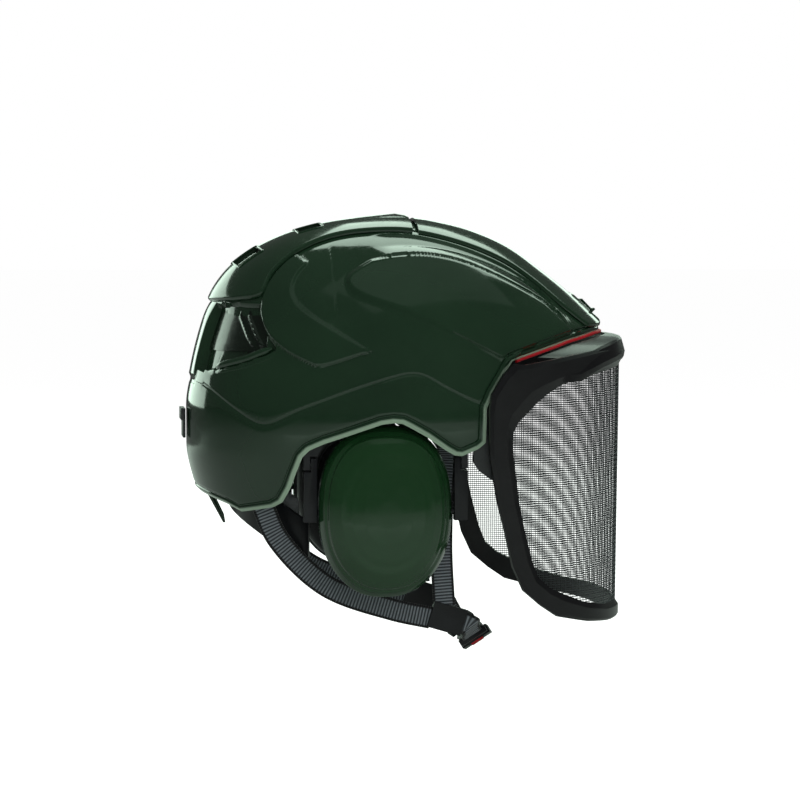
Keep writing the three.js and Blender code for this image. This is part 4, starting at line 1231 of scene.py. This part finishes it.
SIDEWAYS = (0, 1, 0)
CHIN_FACE = (0.55, 0, -0.83)
SIDE_STRAPS = [
    ("front_strap", 110, [(37, 80.5, 16), (36.5, 75, 6), (36, 62, -9), (35, 58, -24), (34, STRAP_PLANE, -70),
                          (36, STRAP_PLANE - 1, DIVIDER[1] + 9)]),
    ("rear_strap", 130, [(-86, 62, -38), (-76, 61, -60), (-44, 58, -92), (0, STRAP_PLANE, -109),
                         (DIVIDER[0] - 11, STRAP_PLANE - 1, DIVIDER[1] + 0.5)]),
]
for strap_name, steps, route in SIDE_STRAPS:
    body, weave = strap(route, SIDEWAYS, steps)
    make_pair(f"{strap_name}_web", body, "helmet", strap_cloth, strap_name, slot="webbing", attributes=weave)

LEAVING_DIVIDER = np.array([(DIVIDER[0] + 0.95 * reach, STRAP_PLANE - 1 - 0.1 * reach,
                             DIVIDER[1] - 0.3 * reach) for reach in (9, 17)])
CHIN_STRAPS = [
    ("chin_strap_left", 90, SIDEWAYS, LEAVING_DIVIDER,
     [(56.5, 48, -125.5), (59, 38, CHIN[1] + 7), (CHIN[0] + 5, 18, CHIN[1] + 1), (CHIN[0] + 6, 0, CHIN[1]),
      (CHIN[0] + 5, -14, CHIN[1] + 0.6)]),
    ("chin_strap_right", 36, (0, -1, 0), LEAVING_DIVIDER * MIRROR,
     [(55.6, -47, -127), (57.5, -42.5, -129.5)]),
]
for strap_name, steps, start_out, leaving, route in CHIN_STRAPS:
    body, weave = strap(np.concatenate([leaving, route]), CHIN_FACE, steps, start_out)
    make(f"{strap_name}_web", body, "helmet", strap_cloth, strap_name, "webbing", attributes=weave)


CRADLE_STEPS = 90
CRADLE_HALF_WIDTH = 10
CRADLE_HALF_THICKNESS = 0.75
WEAVE_HALF_WIDTH = 7     # keeps the dark selvage at the edges


def cradle_strap(reach, height, lengthwise):
    """An arched strap over the head, from front to back or from side to side."""
    angle = np.linspace(0, np.pi, CRADLE_STEPS)
    run = np.cos(angle) * reach
    foot = np.where((np.cos(angle) > 0) & lengthwise, HEADBAND["high"] + BROW_RISE - 4, HEADBAND["high"] + 2)
    z = foot + (height - foot) * np.sin(angle)
    ahead, across = (0, 1) if lengthwise else (1, 0)
    centre, normal = np.zeros((2, CRADLE_STEPS, 3))
    centre[:, ahead], centre[:, 2] = run, z
    normal[:, ahead], normal[:, 2] = np.cos(angle), np.sin(angle)
    rings = sweep(centre, np.eye(3)[across], unit(normal), CRADLE_SECTION, CRADLE_HALF_WIDTH,
                  CRADLE_HALF_THICKNESS)
    return loft(rings), dict(along=np.repeat(run_along(centre), len(CRADLE_SECTION)),
                             across=np.tile([WEAVE_HALF_WIDTH * a for a, _ in CRADLE_SECTION], CRADLE_STEPS))


for strap_name, reach, height, lengthwise in (("cradle_strap_long", 92, CRADLE_TOP, True),
                                              ("cradle_strap_cross", 71, CRADLE_TOP - 3, False)):
    body, weave = cradle_strap(reach, height, lengthwise)
    make(f"{strap_name}_web", body, "helmet", strap_cloth, strap_name, "webbing", attributes=weave)


# -------- padded pieces
CLOTH_FRAMES = 20


def swell(obj, voxel, pressure, cap):
    """Puffs a closed mesh up as cloth and keeps every point within cap millimetres of where it began."""
    remesh = obj.modifiers.new("voxels", "REMESH")
    remesh.mode = "VOXEL"
    remesh.voxel_size = voxel * MM
    remesh.use_smooth_shade = True
    apply_modifiers(obj)
    start = np.array([v.co for v in obj.data.vertices])
    cloth = obj.modifiers.new("cloth", "CLOTH")
    cloth.settings.use_pressure = True
    cloth.settings.uniform_pressure_force = pressure
    cloth.settings.effector_weights.gravity = 0
    cloth.settings.tension_stiffness = 15
    cloth.settings.quality = 6
    cloth.point_cache.frame_end = CLOTH_FRAMES
    for step in range(1, CLOTH_FRAMES + 1):
        bpy.context.scene.frame_set(step)
    apply_modifiers(obj)
    bpy.context.scene.frame_set(1)
    end = np.array([v.co for v in obj.data.vertices])
    move = end - start
    far = np.linalg.norm(move, axis=1, keepdims=True)
    end = start + move * np.minimum(1, cap * MM / np.maximum(far, 1e-9))
    obj.data.vertices.foreach_set("co", end.ravel())
    finer = obj.modifiers.new("finer", "SUBSURF")
    finer.levels = finer.render_levels = 1
    apply_modifiers(obj)
    smooth(obj.data, 180)


def mirror_copy(obj, name, rides, node, slot):
    """The right-hand copy of a finished left-hand piece."""
    points = np.array([v.co for v in obj.data.vertices]) / MM
    faces = [list(p.vertices) for p in obj.data.polygons]
    return make(name, mirrored((points, faces)), rides, obj.data.materials[0], node, slot, sharp=180)


def ear_cushion():
    """An oval ring, rounded on the side that meets the head."""
    angles = np.linspace(0, 2 * np.pi, 72, endpoint=False)
    inner, outer = CUSHION["inner"], CUSHION["outer"]
    section = [(0.94, outer), (0.975, outer - 4), (0.965, inner + 5), (0.9, inner + 1.5), (0.8, inner + 0.8),
               (0.71, inner + 1.5), (0.65, inner + 5), (0.65, outer)]
    return loft(np.stack([ear_oval(angles, scale, y) for scale, y in section], 1), looped=True)


cushion = make("ear_cushion_soft_left", ear_cushion(), "cup_left", cushion_skin, "ear_cushion_left",
               "cushion_skin", sharp=180)
swell(cushion, 2.6, 4, 2.0)
cushion_right = mirror_copy(cushion, "ear_cushion_soft_right", "cup_right", "ear_cushion_right",
                            "cushion_skin")


def head_band_path(angle, inset):
    """x and y inside the headband's outline, inset millimetres in."""
    return oval(angle, HEADBAND["front"] - inset, HEADBAND["rear"] + inset, HEADBAND["half_width"] - inset,
                HEADBAND["middle"], HEADBAND["power"])


def brow_course(angle):
    """Extra inset and height of the band at an angle: across the forehead it climbs to the brim."""
    return 0, BROW_RISE * max(0, math.cos(angle)) ** 2


def nape_course(angle):
    """The nape's wings draw in and drop beside the neck."""
    share = abs(angle - math.pi) / (math.pi - NAPE["wing_angle"])
    return NAPE["wing_tuck"] * share**2, -NAPE["wing_drop"] * share**1.6


PAD_SECTION = [(-1, -0.4), (-0.8, -1), (0, -1), (0.8, -1), (1, -0.4), (1, 0.5), (0.85, 0.9), (0, 1),
               (-0.85, 0.9), (-1, 0.5)]
SWELL_ROOM = 0.6         # on each side


def band_pad(course, inset, low, high, thickness, start, stop, steps):
    """A pad that lies inside the headband's oval, crowned towards the head."""
    rings = []
    for angle in np.linspace(start, stop, steps):
        tuck, lift = course(angle)
        x, y = head_band_path(angle, inset + tuck)
        x2, y2 = head_band_path(angle + 0.01, inset + tuck)
        along = unit([x2 - x, y2 - y, 0])
        rings.append(sweep(np.array([x, y, (low + high) / 2 + lift]), np.array([0, 0, 1.0]),
                           np.array([along[1], -along[0], 0]), PAD_SECTION, (high - low) / 2 - SWELL_ROOM,
                           thickness / 2 - SWELL_ROOM))
    return loft(rings)


CHIN_PAD_SECTION = [(-1, 0), (-0.7, 1), (0, 1), (0.7, 1), (1, 0), (0.7, -1), (0, -1), (-0.7, -1)]


def chin_pad():
    """A small pad on the wearer's side of the chin strap, widest in its middle."""
    across = unit(np.cross(SIDEWAYS, CHIN_FACE))
    face = np.array(CHIN_FACE)
    rings = []
    for y in np.linspace(-13.5, 17.5, 24):
        half = 8.4 * math.sqrt(max(0.05, 1 - ((y - 2) / 16.5) ** 2)) + 2.6
        centre = np.array([CHIN[0] + 6 - abs(y) * 0.06, y, CHIN[1] + abs(y) * 0.05]) - face * 4.4
        rings.append(sweep(centre, across, face, CHIN_PAD_SECTION, half, 2.0))
    return loft(rings)


brow_pad = band_pad(brow_course, 4.2, 1, 29, 5.2, -0.9, 0.9, 60)
nape_pad = band_pad(nape_course, 6.1, -40, -4, 5.4, 2.3, 3.98, 80)
for name, body, rides, material, node, slot, voxel, cap, fill in (
        ("brow_pad_felt", brow_pad, "helmet", felt_grey, "brow_pad", "felt", 1.8, 0.8, 0.6),
        ("nape_pad_felt", nape_pad, "nape", felt_grey, "nape_pad", "felt", 1.8, 0.8, 0.6),
        ("chin_pad_soft", chin_pad(), "helmet", cushion_skin, "chin_pad", "cushion_skin", 1.4, 0.6, 0.5)):
    pad = make(name, body, rides, material, node, slot, sharp=180)
    swell(pad, voxel, 3, cap)


# -------- CAD parts shown as they are
def dress(node, material, bevel=0.5, sharp=35):
    """Rounds the edges of a CAD node with modifiers and gives it its finish."""
    obj = frame["nodes"][node]
    obj.data.materials.clear()
    obj.data.materials.append(material)
    smooth(obj.data, sharp)
    weld = obj.modifiers.new("weld", "WELD")
    weld.merge_threshold = 0.00001
    if bevel:
        edge = obj.modifiers.new("edges", "BEVEL")
        edge.width = bevel * MM
        edge.segments = 2
        edge.limit_method = "ANGLE"
        edge.angle_limit = math.radians(sharp)
        edge.harden_normals = True


DRESSED = [
    (charcoal, 0.5, ["inner_shell", "rear_lamp_hook", "ratchet_housing", "visor_arm_left",
                     "visor_arm_right"]),
    (black, 0.4, ["headband", "nape_cradle", "ratchet_knob", "buckle_female", "buckle_male",
                  "strap_keeper"]),
    (trim_green, 0.4, ["front_lamp_clip", "vent_shutter"]),
    (red_rubber, 0.3, ["buckle_button"]),
    (liner_foam, 0, ["impact_liner", "ear_foam_left", "ear_foam_right"]),
]
for finish, bevel, nodes in DRESSED:
    for node in nodes:
        dress(node, finish, bevel)
for side in ("left", "right"):
    for node in ("ear_bracket", "ear_arm_rear", "ear_arm_front", "ear_backplate", "strap_divider"):
        dress(f"{node}_{side}", black, 0.5)
    for node in ("swing_pin_rear", "swing_pin_front", "visor_pivot_pin"):
        dress(f"{node}_{side}", steel, 0.2)


# -------- floor, light and camera
AIM = Vector((14, 0, 27.6)) * MM
AZIMUTH, ELEVATION, DISTANCE = math.radians(-8), math.radians(3.5), 1.6
FLOOR_Z = -0.175

floor_nodes = Nodes("floor_paint")
floor_speckle = floor_nodes.noise(60, 3)
floor_color = floor_nodes.blend(floor_speckle, (0.5, 0.5, 0.5, 1), (0.54, 0.54, 0.54, 1))
floor_nodes.finish(color=floor_color, roughness=0.9)
floor_nodes.put(floor_nodes.shader.inputs["Emission Color"], (1, 1, 1, 1))
seen = floor_nodes.add("ShaderNodeLightPath").outputs["Is Camera Ray"]
floor_nodes.put(floor_nodes.shader.inputs["Emission Strength"], floor_nodes.range(seen, 0, 1, 0.0, 0.95))
bpy.ops.mesh.primitive_plane_add(size=120, location=(0, 0, FLOOR_Z))
floor = bpy.context.object
floor.name = "floor"
floor.data.materials.append(floor_nodes.material)

camera_data = bpy.data.cameras.new("camera")
camera_data.sensor_width = 36
camera_data.lens = 104.3
camera = add_object("camera", camera_data)
back = Vector((math.sin(AZIMUTH) * math.cos(ELEVATION), -math.cos(AZIMUTH) * math.cos(ELEVATION),
               math.sin(ELEVATION)))
camera.location = AIM + back * DISTANCE
camera.rotation_euler = back.to_track_quat("Z", "Y").to_euler()
bpy.context.scene.camera = camera


def softbox(name, at, aim, width, height, power, color=(1, 1, 1), mirrored_in_gloss=True):
    """A rectangular light, unseen by the camera; sizes in metres and power in watts."""
    light = bpy.data.lights.new(name, "AREA")
    light.shape = "RECTANGLE"
    light.size, light.size_y = width, height
    light.energy = power
    light.color = color
    lamp = add_object(name, light)
    lamp.location = at
    lamp.rotation_euler = (Vector(at) - Vector(aim)).to_track_quat("Z", "Y").to_euler()
    lamp.visible_camera = False
    lamp.visible_glossy = mirrored_in_gloss


MINT = (0.78, 1.0, 0.84)
softbox("behind_top", (0.55, 0.86, 1.5), (0.05, 0, 0.1), 1.6, 0.95, 15, MINT)
softbox("behind_low", (0.6, 1.75, 0.4), (0.05, 0, 0.1), 1.6, 0.3, 3, MINT)
softbox("behind_left", (-1.1, 1.5, 0.45), (0, 0, 0.05), 1.5, 1.0, 12, MINT)
softbox("overhead_card", (0.35, -0.35, 1.7), (0.05, 0, 0.1), 1.5, 0.9, 0.7, MINT)
softbox("top_fill", (-0.1, -0.4, 1.8), (0, 0, 0), 1.6, 1.6, 14, mirrored_in_gloss=False)
softbox("front_fill", (0.4, -1.9, 0.7), (0, 0, 0), 1.6, 1.2, 9, mirrored_in_gloss=False)
softbox("low_fill", (-0.1, -0.9, -0.14), (0, 0, 0.02), 1.2, 0.2, 2, MINT, mirrored_in_gloss=False)

world = bpy.data.worlds.new("world")
bpy.context.scene.world = world
world.use_nodes = True
sky = world.node_tree
sky_background = sky.nodes["Background"]
light_path = sky.nodes.new("ShaderNodeLightPath")
shade = sky.nodes.new("ShaderNodeMapRange")
sky.links.new(light_path.outputs["Is Camera Ray"], shade.inputs["Value"])
shade.inputs["To Min"].default_value = 0.07
shade.inputs["To Max"].default_value = 1.0
sky.links.new(shade.outputs[0], sky_background.inputs["Strength"])
sky_background.inputs["Color"].default_value = (1, 1, 1, 1)

scene = bpy.context.scene
scene.view_settings.view_transform = "Standard"
scene.view_settings.look = "None"
